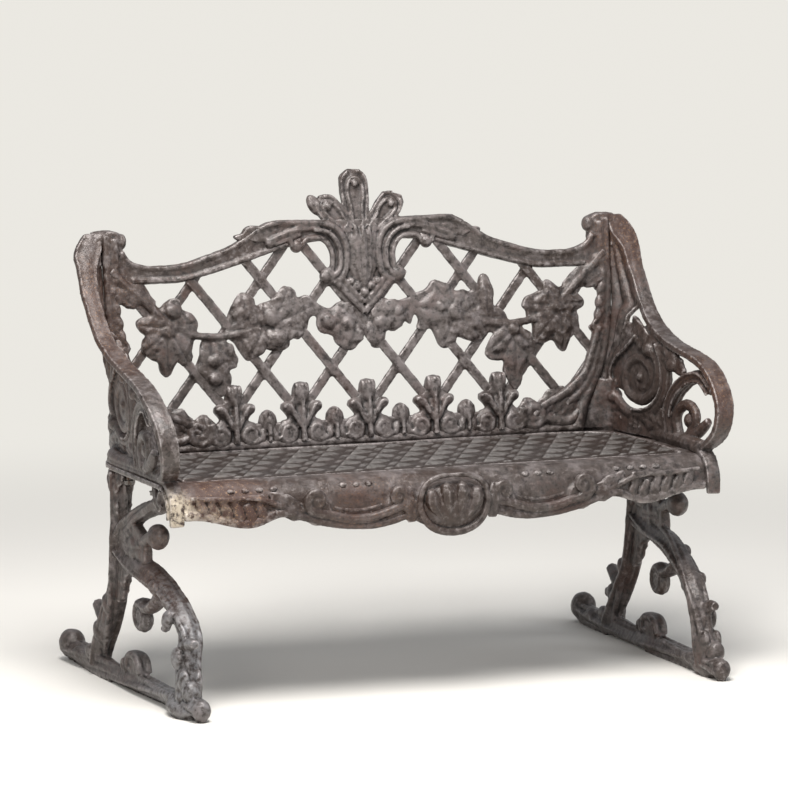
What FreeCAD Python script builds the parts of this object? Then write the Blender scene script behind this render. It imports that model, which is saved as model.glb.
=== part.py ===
import FreeCAD, Part
import math
import os
from FreeCAD import Placement, Rotation, Vector

# Cast iron patio bench, in millimetres.
# The origin is on the ground under the middle of the bench. Seen from the front,
# +X is to the right, +Y is to the back and +Z is up.

doc = FreeCAD.newDocument("patio_bench")
sheet = doc.addObject("Spreadsheet::Sheet", "sizes")

SIZES = [
    ("seat_height", 396, "top of the seat above the ground"),
    ("seat_thickness", 8, "wall of the seat casting"),
    ("seat_half_width", 528, "middle of the seat to its side edge"),
    ("seat_front", 250, "origin to the face of the apron"),
    ("seat_rear", 180, "origin to the rear edge of the seat"),
    ("seat_corner_radius", 124, "rear corners of the seat"),
    ("seat_margin", 2, "rim of the seat left clear by what stands on it"),
    ("roll_radius", 46, "rolled front edge of the seat"),
    ("apron_centre_drop", 106, "seat top to the lowest point of the shell"),
    ("apron_scallop_drop", 87, "seat top to the bottom of the long scallops"),
    ("apron_cusp_drop", 60, "seat top to the cusps between scallops"),
    ("apron_end_drop", 72, "seat top to the apron's ends"),
    ("apron_rim_width", 14, "moulded rim along the lower edge"),
    ("apron_rim_lip", 2, "how far the rim reaches below the apron's edge"),
    ("apron_rim_relief", 8, "how far the rim stands out"),
    ("shell_half_width", 68, "ribbed shell in the middle of the apron"),
    ("shell_relief", 26, "how far the shell stands out"),
    ("apron_volute_radius", 24, "scrolls beside the shell and scallops"),
    ("back_foot_y", 131, "origin to the foot of the back at the seat"),
    ("back_rake", 6.37, "lean of the back in degrees"),
    ("back_half_width", 498, "middle of the back to its side edge"),
    ("back_foot_half_width", 430, "the same at the foot, where the sides curve in"),
    ("back_corner_rise", 224, "seat to the top of that curve"),
    ("frame_front", 12, "frame thickness ahead of the lattice plane"),
    ("frame_rear", 8, "frame thickness behind the lattice plane"),
    ("corner_height", 404, "seat to the knobs at the upper corners"),
    ("rail_dip_height", 339, "seat to the lowest part of the top rail"),
    ("rail_shoulder_height", 413, "seat to the rail beside the crest"),
    ("rail_depth", 33, "height of the top rail at its dip"),
    ("rail_shoulder_depth", 46, "height of the top rail beside the crest"),
    ("bottom_band_height", 48, "solid band at the foot of the back"),
    ("stile_width", 26, "width of the stile at mid height"),
    ("lattice_pitch", 132, "distance between crossings in a row"),
    ("lattice_rise", 82, "height from one row of crossings to the next"),
    ("lattice_first_row", 142, "seat to the lowest row of crossings"),
    ("lattice_bar_width", 18, "width of a lattice bar"),
    ("lattice_bar_depth", 10, "thickness of a lattice bar"),
    ("lattice_lap", 4, "how far one set of bars lies behind the other"),
    ("leaf_relief", 18, "how far the leaves stand ahead of the lattice"),
    ("relief_step", 1, "least step from one layer of relief to the next"),
    ("star_leaf_radius", 62, "large five-lobed leaf"),
    ("bunch_leaf_radius", 60, "leaf at the middle of each half"),
    ("centre_leaf_radius", 44, "leaf beside the middle"),
    ("small_leaf_length", 62, "oval leaf"),
    ("vine_width", 14, "stem of the vine"),
    ("fleur_height", 119, "seat to the tip of a fleur"),
    ("fleur_lobe_width", 34, "top lobe of a fleur"),
    ("bud_height", 70, "seat to the tip of a bud"),
    ("volute_radius", 20, "scrolls along the foot of the back"),
    ("crest_height", 507, "seat to the tip of the crest"),
    ("crest_lobe_width", 46, "middle lobe of the crest"),
    ("crest_side_length", 100, "side lobe of the crest"),
    ("crest_side_angle", 40, "lean of the side lobes in degrees"),
    ("crest_hollow_width", 12, "teardrop hollow in a lobe"),
    ("crest_hollow_depth", 12, "depth of that hollow"),
    ("vase_half_width", 29, "swelling under the crest"),
    ("vase_half_height", 46, "half height of that swelling"),
    ("c_scroll_radius", 40, "scroll on each side of the swelling"),
    ("c_scroll_hole", 18, "radius of the opening in that scroll"),
    ("arm_flare", 30, "how far the armrest swings out past its base rail"),
    ("arm_lean", 3, "outward lean of an arm's scrolls in degrees"),
    ("arm_splay", 7.4, "turn of the scrolls in degrees, their front outward"),
    ("arm_front", 266, "origin to the front of an arm"),
    ("arm_rise", 400, "seat to the top of an arm"),
    ("strip_top_width", 55, "broad strip of an arm at the top of the back"),
    ("strip_width", 34, "the same strip along the armrest"),
    ("strip_thickness", 14, "thickness of that strip"),
    ("arm_web", 16, "thickness of the scrolls in an arm"),
    ("arm_fill", 8, "thin webs between the scrolls of an arm"),
    ("base_rail_width", 28, "rail that stands on the seat"),
    ("base_rail_height", 22, "height of that rail"),
    ("scroll_radius", 52, "half length of the large scroll's middle line"),
    ("scroll_rise", 44, "half height of that line"),
    ("scroll_width", 18, "width of the scroll's band"),
    ("scroll_eye_radius", 20, "eye of the large scroll"),
    ("arm_volute_radius", 28, "scroll at the front of an arm"),
    ("clasp_thickness", 9, "band at the front of an arm, bent over the seat's roll"),
    ("clasp_drop", 24, "straight end of that band below the roll's middle"),
    ("casting_gap", 0.2, "room between that band and the roll"),
    ("ear_width", 36, "ear of an arm behind the back"),
    ("ear_thickness", 10, "thickness of an ear"),
    ("leg_inset", 22, "side edge of the seat to the middle of a leg"),
    ("leg_toe_in", 1.8, "turn of a leg in degrees"),
    ("leg_thickness", 36, "branch measured across the bench"),
    ("leg_bar_width", 36, "branch measured along the leg"),
    ("bracket_width", 24, "slender branch from the waist to the front of the seat"),
    ("leg_web", 18, "web at the waist of a leg"),
    ("foot_front", 325, "origin to the middle of the front ball"),
    ("foot_rear", 317, "origin to the middle of the rear ball"),
    ("foot_rail_height", 38, "height of the foot rail"),
    ("foot_rail_width", 34, "width of the foot rail"),
    ("front_ball_radius", 20, "ball at the front end of the foot rail"),
    ("rear_ball_radius", 28, "ball at the rear end of the foot rail"),
    ("hump_height", 68, "ground to the top of the knot on the foot rail"),
    ("hump_half_length", 50, "half length of that knot"),
    ("knob_radius", 18, "knob at the end of the curl under the bracket"),
    ("pendant_radius", 35, "curl that hangs in the arch"),
    ("twig_length", 52, "stub of a twig"),
    ("twig_radius", 14, "thickness of a twig at its root"),
    ("branch_front", 176, "origin to the top of the front branch"),
    ("branch_rear", 50, "origin to the top of the rear branch"),
    ("pad_width", 38, "seat pad at the top of a branch, across the bench"),
    ("pad_thickness", 14, "thickness of that pad"),
    ("pad_margin", 18, "branch or bolt to the end of its pad"),
    ("pad_reach", 46, "branch to the bolt beside it"),
    ("corner_bolt_inset", 19, "side edge of the seat to the corner bolts"),
    ("tab_spacing", 300, "distance between the tabs of the back"),
    ("tab_width", 44, "tab at the foot of the back"),
    ("tab_thickness", 10, "thickness of that tab"),
    ("tab_margin", 16, "tab bolt to the seat's rear edge"),
    ("upper_ear_inset", 20, "side edge of the back to the upper ear bolts"),
    ("lower_ear_inset", 44, "side edge of the foot to the lower ear bolts"),
    ("upper_ear_height", 362, "seat to the upper ear bolts"),
    ("lower_ear_height", 25, "seat to the lower ear bolts"),
    ("bolt_diameter", 8, "shank of every bolt"),
    ("bolt_clearance", 0.5, "room round a shank in its hole"),
    ("head_across_corners", 15, "hexagon head of a bolt"),
    ("head_height", 5.5, "height of that head"),
    ("thread_depth", 15, "thread held in a tapped casting"),
    ("thread_standout", 3, "shank showing past its nut, or room past a tapped thread"),
    ("nut_across_corners", 15, "hexagon nut"),
    ("nut_height", 6.5, "height of a nut"),
    ("washer_diameter", 17, "outer diameter of a washer"),
    ("washer_thickness", 1.6, "thickness of a washer"),
]

for row, (alias, value, note) in enumerate(SIZES, start=1):
    sheet.set(f"A{row}", alias)
    sheet.set(f"B{row}", str(value))
    sheet.setAlias(f"B{row}", alias)
    sheet.set(f"C{row}", note)
doc.recompute()


def size(alias):
    """A driving size, read from the sheet."""
    return float(sheet.get(alias))


ACROSS = Vector(1, 0, 0)
THROUGH = Vector(0, 1, 0)
UP = Vector(0, 0, 1)

# Places that follow from the driving sizes
SEAT_TOP = size("seat_height")
SEAT_UNDER = SEAT_TOP - size("seat_thickness")
BACK_WIDTH = size("back_half_width")
RAKE = math.radians(size("back_rake"))
BACK_FOOT = size("back_foot_half_width")
BACK_PLACE = Placement(Vector(0, size("back_foot_y"), SEAT_TOP), Rotation(ACROSS, -size("back_rake")))
BRANCH_TOPS = (-size("branch_front"), size("branch_rear"))
CORNER_BOLTS = (BRANCH_TOPS[0] + size("pad_reach"), BRANCH_TOPS[1] - size("pad_reach"))
ARM_X = size("seat_half_width") - size("seat_margin") - size("base_rail_width") / 2
CLASP_WIDTH = size("base_rail_width") - 2 * size("seat_margin")
CORNER_BOLT_X = size("seat_half_width") - size("corner_bolt_inset")
LEG_X = size("seat_half_width") - size("leg_inset")
ARM_DEPTH = size("arm_front") + size("back_foot_y") + size("arm_rise") * math.tan(RAKE)


def on_back(across, up):
    """A point of the upright back, before it is leaned."""
    return Vector(across, 0, up)


def on_lattice(column, row):
    """A point of the back, counted in lattice cells from the lowest crossings."""
    return on_back(column * size("lattice_pitch"), size("lattice_first_row") + row * size("lattice_rise"))


def on_arm(along, up):
    """A point of an arm's side view: 0 to 1 from front to back and from seat to top."""
    return Vector(0, along * ARM_DEPTH - size("arm_front"), SEAT_TOP + up * size("arm_rise"))


def on_leg(along, up):
    """A point of a leg's side view: -1 to 1 along the foot and 0 to 1 from ground to seat."""
    reach = size("foot_front") if along < 0 else size("foot_rear")
    return Vector(0, along * reach, up * SEAT_UNDER)


# Outlines

def line(start, end):
    return Part.LineSegment(start, end).toShape()


def curve_through(points):
    curve = Part.BSplineCurve()
    curve.interpolate(points)
    return curve.toShape()


def loop_through(points):
    curve = Part.BSplineCurve()
    curve.interpolate(Points=points, PeriodicFlag=True)
    return Part.Wire(curve.toShape())


def strip_outline(points, left, right, normal):
    """Outline of a strip along the points, reaching left and right of them."""
    middle = Part.BSplineCurve()
    middle.interpolate(points)
    left_side = []
    right_side = []
    for point in points:
        tangent = middle.tangent(middle.parameter(point))[0]
        side = normal.cross(tangent).normalize()
        left_side.append(point + side * left)
        right_side.append(point - side * right)
    right_side.reverse()
    edges = [curve_through(left_side), line(left_side[-1], right_side[0])]
    edges += [curve_through(right_side), line(right_side[-1], left_side[0])]
    return Part.Wire(edges)


def slab(outline, direction, low, high):
    """Solid between two planes across a direction, with the given outline."""
    face = Part.Face(outline)
    face.translate(direction * low)
    return face.extrude(direction * (high - low))


def strip_on_back(points, width, low, high):
    return slab(strip_outline(points, width / 2, width / 2, THROUGH), THROUGH, low, high)


def disc_on_back(centre, radius, low, high):
    return Part.makeCylinder(radius, high - low, centre + THROUGH * low, THROUGH)


def ring_on_back(centre, radius, hole, low, high):
    return disc_on_back(centre, radius, low, high).cut(disc_on_back(centre, hole, low, high))


def lobed_leaf(centre, radius, lobes, turn, low, high):
    """Leaf with round lobes: its radius swings once for each lobe."""
    points = []
    for step in range(4 * lobes):
        angle = turn + math.tau * step / (4 * lobes)
        reach = radius * (0.78 + 0.22 * math.cos(lobes * (angle - turn)))
        points.append(centre + on_back(reach * math.sin(angle), reach * math.cos(angle)))
    return slab(loop_through(points), THROUGH, low, high)


def drop_outline(base, length, width, turn):
    """Pointed-oval outline that grows from its base along a turned axis."""
    axis = on_back(math.sin(turn), math.cos(turn))
    side = on_back(math.cos(turn), -math.sin(turn))
    shape = [(0, 0), (0.25, 0.34), (0.6, 0.5), (0.88, 0.32), (1, 0)]
    right = [base + axis * (along * length) + side * (across * width) for along, across in shape]
    left = [base + axis * (along * length) - side * (across * width) for along, across in shape[-2:0:-1]]
    return loop_through(right + left)


def mirrored(shape):
    return shape.mirror(Vector(0, 0, 0), ACROSS)


def both_sides(shapes):
    return shapes + [mirrored(shape) for shape in shapes]


# Document objects

def feature(name, shape):
    item = doc.addObject("Part::Feature", name)
    item.Shape = shape
    return item


def bound(kind, name, sizes, place=None):
    """Primitive whose properties follow formulas on the sheet."""
    item = doc.addObject(kind, name)
    for prop, formula in sizes.items():
        item.setExpression(prop, formula)
    if place is not None:
        item.Placement = place
    return item


def fuse(name, items):
    item = doc.addObject("Part::MultiFuse", name)
    item.Shapes = items
    item.Refine = False
    return item


def cut(name, base, tools):
    tool = doc.addObject("Part::Compound", name + "_cuts")
    tool.Links = tools
    item = doc.addObject("Part::Cut", name)
    item.Base = base
    item.Tool = tool
    item.Refine = False
    return item


def mirror_of(name, source):
    item = doc.addObject("Part::Mirroring", name)
    item.Source = source
    item.Normal = ACROSS
    return item


def moved_along(place, distance):
    """The same place, moved along its own +Z."""
    return place.multiply(Placement(UP * distance, Rotation()))


def total(*aliases):
    """Sum of some sizes, as a number."""
    return sum(size(alias) for alias in aliases)


def formula(*aliases):
    """The same sum, as a formula on the sheet."""
    return " + ".join("sizes." + alias for alias in aliases)


# Joints: each bolt enters its first face at its place and runs along the place's +Z
# through the gripped walls.

CORNER_GRIP = ("pad_thickness", "seat_thickness")
CORNER_PLACES = []
for side in (-1, 1):
    for depth in CORNER_BOLTS:
        spot = Vector(side * CORNER_BOLT_X, depth, SEAT_UNDER - size("pad_thickness"))
        CORNER_PLACES.append(Placement(spot, Rotation()))

TAB_GRIP = ("tab_thickness", "seat_thickness")
TAB_PLACES = []
for count in (-1, 0, 1):
    spot = Vector(count * size("tab_spacing"), size("seat_rear") - size("tab_margin"), SEAT_TOP)
    spot += UP * size("tab_thickness")
    TAB_PLACES.append(Placement(spot, Rotation(ACROSS, 180)))

EAR_GRIP = ("ear_thickness",)
LOWER_EAR = on_back(BACK_FOOT - size("lower_ear_inset"), size("lower_ear_height"))
UPPER_EAR = on_back(BACK_WIDTH - size("upper_ear_inset"), size("upper_ear_height"))
EAR_PLACES = []
for side in (-1, 1):
    for ear in (LOWER_EAR, UPPER_EAR):
        spot = on_back(side * ear.x, ear.z) + THROUGH * total("frame_rear", "ear_thickness")
        EAR_PLACES.append(BACK_PLACE.multiply(Placement(spot, Rotation(ACROSS, 90))))


def bores(name, places, grip):
    """Clearance holes of one joint: through the gripped walls and on past the thread."""
    lead = ("washer_thickness",)
    items = []
    for number, place in enumerate(places):
        item = bound("Part::Cylinder", f"{name}_{number}", {
            "Radius": "sizes.bolt_diameter / 2 + sizes.bolt_clearance",
            "Height": formula(*lead, *grip, "thread_depth", "thread_standout"),
        }, moved_along(place, -total(*lead)))
        items.append(item)
    return items


# The room below the seat's top, which trims what stands on the seat
seat_room = bound("Part::Box", "seat_room", {
    "Length": "4 * sizes.seat_half_width",
    "Width": "8 * sizes.seat_front",
    "Height": "sizes.seat_height",
    "Placement.Base.x": "-2 * sizes.seat_half_width",
    "Placement.Base.y": "-4 * sizes.seat_front",
})


# Back panel

def back_outline():
    """Outer outline of the back: foot, sides, corner knobs and top rail."""
    corner = size("corner_height")
    dip = size("rail_dip_height")
    climb = size("rail_shoulder_height") - dip
    knob = [on_back(BACK_WIDTH * 0.965, corner), on_back(BACK_WIDTH * 0.925, corner - 0.28 * climb)]
    knob.append(on_back(BACK_WIDTH * 0.93, dip + 0.36 * climb))
    rail = [knob[-1], on_back(BACK_WIDTH * 0.85, dip + 0.05 * climb), on_back(BACK_WIDTH * 0.79, dip)]
    rail += [on_back(BACK_WIDTH * 0.7, dip + 0.04 * climb), on_back(BACK_WIDTH * 0.5, dip + 0.45 * climb)]
    rail += [on_back(BACK_WIDTH * 0.41, dip + 0.79 * climb), on_back(BACK_WIDTH * 0.35, dip + climb)]
    rise = size("back_corner_rise")
    swell = BACK_WIDTH - BACK_FOOT
    shares = [(0, 0), (0.18, 0.22), (0.6, 0.46), (0.88, 0.73), (1, 1)]
    side = [on_back(BACK_FOOT + across * swell, up * rise) for across, up in shares]
    half = [curve_through(side), line(side[-1], on_back(BACK_WIDTH, corner))]
    half += [line(on_back(BACK_WIDTH, corner), knob[0]), Part.Arc(*knob).toShape(), curve_through(rail)]
    middle = line(rail[-1], on_back(-rail[-1].x, rail[-1].z))
    foot = line(on_back(-BACK_FOOT, 0), on_back(BACK_FOOT, 0))
    return Part.Wire(Part.sortEdges([foot, middle] + both_sides(half))[0])


def back_window():
    """Inner outline of the frame, which the lattice fills."""
    low = size("bottom_band_height")
    dip = size("rail_dip_height") - size("rail_depth")
    shoulder = size("rail_shoulder_height") - size("rail_shoulder_depth")
    inner = BACK_WIDTH - size("stile_width")
    climb = dip - low
    side = [on_back(BACK_WIDTH * 0.69, low), on_back(BACK_WIDTH * 0.79, low + 0.07 * climb)]
    side.append(on_back(BACK_WIDTH * 0.865, low + 0.22 * climb))
    side.append(on_back(inner - 0.014 * BACK_WIDTH, low + 0.56 * climb))
    side += [on_back(inner + 0.01 * BACK_WIDTH, low + 0.8 * climb), on_back(inner, low + 0.95 * climb)]
    top = [on_back(inner - 0.05 * BACK_WIDTH, dip + 0.008 * climb), on_back(BACK_WIDTH * 0.79, dip)]
    top += [on_back(BACK_WIDTH * 0.7, dip), on_back(BACK_WIDTH * 0.56, dip + 0.32 * (shoulder - dip))]
    top += [on_back(BACK_WIDTH * 0.4, dip + 0.68 * (shoulder - dip)), on_back(BACK_WIDTH * 0.2, shoulder)]
    half = [curve_through(side), line(side[-1], top[0]), curve_through(top)]
    foot = line(on_back(-side[0].x, low), side[0])
    middle = line(top[-1], on_back(-top[-1].x, top[-1].z))
    return Part.Wire(Part.sortEdges([foot, middle] + both_sides(half))[0])


def back_frame():
    low = -size("frame_front")
    high = size("frame_rear")
    return slab(back_outline(), THROUGH, low, high).cut(slab(back_window(), THROUGH, low, high))


def lattice():
    """Two sets of slanted bars, one lapped behind the other, trimmed by the frame."""
    pitch = size("lattice_pitch")
    rise = size("lattice_rise")
    depth = size("lattice_bar_depth")
    slope = math.atan2(rise, pitch / 2)
    reach = 2 * size("crest_height")
    count = math.ceil((BACK_WIDTH + size("crest_height") / math.tan(slope)) / pitch)
    low = depth / 2 - size("lattice_bar_depth")
    bars = []
    for direction, lap in ((1, size("lattice_lap") / 2), (-1, -size("lattice_lap") / 2)):
        for number in range(-count, count):
            crossing = on_lattice(number + 0.5, 0)
            along = on_back(direction * math.cos(slope), math.sin(slope))
            ends = [crossing - along * reach, crossing + along * reach]
            bars.append(strip_on_back(ends, size("lattice_bar_width"), low + lap, low + lap + depth))
    field = slab(back_outline(), THROUGH, -size("frame_front"), size("frame_rear"))
    return bars[0].multiFuse(bars[1:]).common(field)


def vine():
    """Stem and leaves that cross the lattice, mirrored about the middle."""
    front = -size("leaf_relief")
    step = size("relief_step")
    star = size("star_leaf_radius")
    bunch = size("bunch_leaf_radius")
    small = size("small_leaf_length")
    path = [(3.4, 1.95), (2.92, 1.2), (2.4, 0.84), (1.9, 0.82), (1.4, 1.05), (0.7, 0.96), (0, 0.92)]
    stem = [on_lattice(column, row) for column, row in path]
    shapes = [strip_on_back(stem, size("vine_width"), front + 4 * step, 0)]
    shapes.append(lobed_leaf(on_lattice(2.9, 1.1), star, 5, 0.35, front, -step))
    shapes.append(lobed_leaf(on_lattice(1.42, 1.02), bunch, 5, 0.1, front - step, -1.5 * step))
    inner = size("centre_leaf_radius")
    shapes.append(lobed_leaf(on_lattice(0.4, 0.9), inner, 4, 0.5, front + step, -2 * step))
    drops = [(3.62, 2.15, 1.1, 4.2), (2.28, 0.62, 1.45, 3.3), (2.2, 0.45, 0.9, 4.6)]
    drops += [(1.84, 1.05, 1.1, 0.1), (1.3, 0.85, 1.0, 3.5), (0.2, 0.95, 0.95, 3.4)]
    for number, (column, row, scale, turn) in enumerate(drops):
        outline = drop_outline(on_lattice(column, row), small * scale, small * 0.62 * scale, turn)
        shapes.append(slab(outline, THROUGH, front + (0.4 * number - 2) * step, -2.5 * step))
    return both_sides(shapes)


def fleurs():
    """Row of fleurs, buds and scrolls that stands on the bottom band."""
    front = -size("leaf_relief")
    step = size("relief_step")
    tip = size("fleur_height")
    width = size("fleur_lobe_width")
    pitch = size("lattice_pitch")
    curl = size("volute_radius")
    shapes = []
    for count in (-2, -1, 0, 1, 2):
        x = count * pitch
        stem = [on_back(x, curl), on_back(x, tip - width)]
        shapes.append(strip_on_back(stem, 0.8 * width, front + 3 * step, -3 * step))
        outline = drop_outline(on_back(x, tip - 1.5 * width), 1.5 * width, width, 0)
        shapes.append(slab(outline, THROUGH, front, -2 * step))
        for side in (-1, 1):
            lobe = on_back(x + side * 0.8 * width, 0.68 * tip)
            shapes.append(disc_on_back(lobe, 0.4 * width, front + step, -step))
            scroll = on_back(x + side * 1.35 * curl, 1.5 * curl)
            shapes.append(disc_on_back(scroll, curl, front + 2 * step, -1.5 * step))
    for count in (-1.5, -0.5, 0.5, 1.5):
        outline = drop_outline(on_back(count * pitch, curl), size("bud_height") - curl, width, 0)
        shapes.append(slab(outline, THROUGH, front + step, -2 * step))
    for side in (-1, 1):
        end = on_back(side * 2.55 * pitch, 1.9 * curl)
        shapes.append(disc_on_back(end, 1.5 * curl, front + 2 * step, -step))
    return shapes


def crest():
    """Three hollowed lobes over a swelling with a scroll on each side."""
    step = size("relief_step")
    front = -size("leaf_relief") - 4 * step
    rear = size("frame_rear") - step
    root = size("rail_shoulder_height") - size("rail_shoulder_depth")
    lobe = size("crest_height") - root
    width = size("crest_lobe_width")
    hollow = size("crest_hollow_width")
    floor = front + size("crest_hollow_depth")
    turn = math.radians(size("crest_side_angle"))
    middle = slab(drop_outline(on_back(0, root), lobe, width, 0), THROUGH, front, rear)
    drop = slab(drop_outline(on_back(0, root + 0.46 * lobe), 0.3 * lobe, hollow, 0), THROUGH, front, floor)
    foot = on_back(0.3 * width, root + 0.1 * lobe)
    axis = on_back(math.sin(turn), math.cos(turn))
    length = size("crest_side_length")
    side = slab(drop_outline(foot, length, 0.9 * width, turn), THROUGH, front + step, rear - step)
    side_drop = drop_outline(foot + axis * (0.5 * length), 0.3 * length, hollow, turn)
    hollowed = side.cut(slab(side_drop, THROUGH, front, floor))
    half_width = size("vase_half_width")
    half_height = size("vase_half_height")
    centre = root - half_height + 0.3 * size("rail_shoulder_depth")
    turns = [math.tau * count / 8 for count in range(8)]
    ring = [on_back(half_width * math.sin(a), centre + half_height * math.cos(a)) for a in turns]
    vase = slab(loop_through(ring), THROUGH, front - 2 * step, rear - 2 * step)
    scroll_at = on_back(half_width + size("c_scroll_radius"), centre + 0.2 * half_height)
    scroll = ring_on_back(scroll_at, size("c_scroll_radius"), size("c_scroll_hole"),
                          front + 2 * step, rear - 3 * step)
    drip = [on_back(2.1 * half_width, centre - 0.75 * half_height)]
    drip += [on_back(0.9 * half_width, centre - 1.5 * half_height), on_back(0, centre - 2.1 * half_height)]
    moulding = strip_on_back(drip, size("vine_width"), front + 3 * step, -step)
    berry = disc_on_back(on_back(0, centre - 1.3 * half_height), 0.75 * half_width, front + step, 0)
    return [middle.cut(drop), vase, berry] + both_sides([hollowed, scroll, moulding])


def back_tabs():
    """Flat tabs behind the foot of the back, upright, in the bench's own frame."""
    shapes = []
    for place in TAB_PLACES:
        corner = Vector(place.Base.x - size("tab_width") / 2, size("back_foot_y"), SEAT_TOP)
        depth = size("seat_rear") - size("seat_margin") - size("back_foot_y")
        shapes.append(Part.makeBox(size("tab_width"), depth, size("tab_thickness"), corner))
    return shapes


frame_piece = back_frame()
leaned = frame_piece.multiFuse([lattice()] + vine() + fleurs() + crest())
leaned.Placement = BACK_PLACE
back_casting = feature("back_casting", leaned)
tab_items = [feature(f"back_tab_{number}", shape) for number, shape in enumerate(back_tabs())]
back_blank = fuse("back_blank", [back_casting] + tab_items)
back_cuts = bores("back_ear_hole", EAR_PLACES, EAR_GRIP) + bores("back_tab_hole", TAB_PLACES, TAB_GRIP)
back_panel = cut("back_panel", back_blank, [seat_room] + back_cuts)


# Seat panel

def seat_section(inset):
    """Half-open side view of the seat: flat top, rolled front and apron, drawn in by an inset."""
    front = -size("seat_front") + inset
    top = SEAT_TOP - inset
    radius = size("roll_radius") - inset
    centre = Vector(0, front + radius, top - radius)
    half_way = (UP - THROUGH) * (radius * math.sqrt(0.5))
    turn = [centre + UP * radius, centre + half_way, centre - THROUGH * radius]
    rear = Vector(0, size("seat_rear"), top)
    foot = Vector(0, front, SEAT_TOP - 1.2 * size("apron_centre_drop"))
    return [line(rear, turn[0]), Part.Arc(*turn).toShape(), line(turn[-1], foot)]


def seat_shell():
    """Bent plate: the section swept straight across the bench."""
    outer = seat_section(0)
    inner = seat_section(size("seat_thickness"))
    caps = [line(outer[0].Vertexes[0].Point, inner[0].Vertexes[0].Point)]
    caps.append(line(outer[-1].Vertexes[-1].Point, inner[-1].Vertexes[-1].Point))
    outline = Part.Wire(Part.sortEdges(outer + inner + caps)[0])
    return slab(outline, ACROSS, -size("seat_half_width"), size("seat_half_width"))


def apron_edge():
    """Points of the apron's lower edge, from its middle to its end."""
    width = size("seat_half_width")
    shell = size("shell_half_width")
    drops = [(0, "apron_centre_drop", 1), (0.7 * shell, "apron_centre_drop", 0.87)]
    drops += [(1.3 * shell, "apron_cusp_drop", 1.26), (0.34 * width, "apron_scallop_drop", 1)]
    drops += [(0.52 * width, "apron_scallop_drop", 0.8), (0.605 * width, "apron_cusp_drop", 1)]
    drops += [(0.69 * width, "apron_end_drop", 1.03), (0.86 * width, "apron_end_drop", 0.83)]
    drops.append((width, "apron_end_drop", 0.8))
    return [on_back(x, SEAT_TOP - share * size(alias)) for x, alias, share in drops]


def apron_mask():
    """Everything above the apron's lower edge, seen from the front."""
    edge = apron_edge()
    left = [on_back(-point.x, point.z) for point in reversed(edge[1:])]
    top = SEAT_TOP + size("seat_thickness")
    corners = [edge[-1], on_back(edge[-1].x, top), on_back(-edge[-1].x, top), left[0]]
    sides = [line(start, end) for start, end in zip(corners, corners[1:])]
    outline = Part.Wire(Part.sortEdges([curve_through(left + edge)] + sides)[0])
    return slab(outline, THROUGH, -2 * size("seat_front"), 2 * size("seat_rear"))


def seat_corner(inset):
    """Three points round a rear corner of the seat's plan, drawn in by an inset."""
    bend = size("seat_corner_radius")
    centre = Vector(size("seat_half_width") - bend, size("seat_rear") - bend, 0)
    radius = bend - inset
    half_way = (ACROSS + THROUGH) * (radius * math.sqrt(0.5))
    return [centre + ACROSS * radius, centre + half_way, centre + THROUGH * radius]


def seat_plan():
    """Plan of the seat with its rounded rear corners."""
    width = size("seat_half_width")
    front = -size("seat_front") - size("shell_relief")
    arc = seat_corner(0)
    half = [line(Vector(width, front, 0), arc[0]), Part.Arc(*arc).toShape()]
    ends = [line(Vector(-width, front, 0), Vector(width, front, 0))]
    ends.append(line(arc[-1], Vector(-arc[-1].x, arc[-1].y, 0)))
    outline = Part.Wire(Part.sortEdges(ends + both_sides(half))[0])
    return slab(outline, UP, 0, SEAT_TOP + size("seat_thickness"))


def apron_relief():
    """Moulded rim, scrolls and shell on the face of the apron."""
    face = -size("seat_front")
    step = size("relief_step")
    sunk = face + size("seat_thickness") / 2
    lift = UP * (size("apron_rim_width") / 2 - size("apron_rim_lip"))
    edge = [point + lift for point in apron_edge()[2:]]
    edge[-1].x = ARM_X - CLASP_WIDTH / 2 - size("seat_margin")
    rim = strip_on_back(edge, size("apron_rim_width"), face - size("apron_rim_relief"), sunk)
    shapes = [rim]
    radius = size("apron_volute_radius")
    width = size("seat_half_width")
    for x, drop in ((0.186 * width, 0.95), (0.475 * width, 0.95)):
        centre = on_back(x, SEAT_TOP - drop * size("apron_cusp_drop"))
        shapes.append(disc_on_back(centre, radius, face - size("apron_rim_relief") + 2 * step, sunk + step))
    half = size("shell_half_width")
    middle = SEAT_TOP - 0.5 * (size("apron_centre_drop") + 0.2 * size("apron_cusp_drop"))
    height = middle - SEAT_TOP + size("apron_centre_drop") - step
    sections = []
    for depth, share in ((0, 1), (0.5, 0.93), (0.85, 0.68), (1, 0.4)):
        centre = on_back(0, middle) + THROUGH * (sunk - depth * (size("shell_relief") + sunk - face))
        oval = Part.Ellipse(centre + ACROSS * (share * half), centre + UP * (share * height), centre)
        sections.append(Part.Wire(oval.toShape()))
    return both_sides(shapes) + [Part.makeLoft(sections, True, False)]


seat_bent = seat_shell().common(apron_mask()).common(seat_plan())
seat_casting = feature("seat_casting", seat_bent.multiFuse(apron_relief()))
seat_cuts = bores("seat_corner_hole", CORNER_PLACES, CORNER_GRIP)
seat_cuts += bores("seat_tab_hole", TAB_PLACES, TAB_GRIP)
seat_panel = cut("seat_panel", seat_casting, seat_cuts)


# Arms

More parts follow.
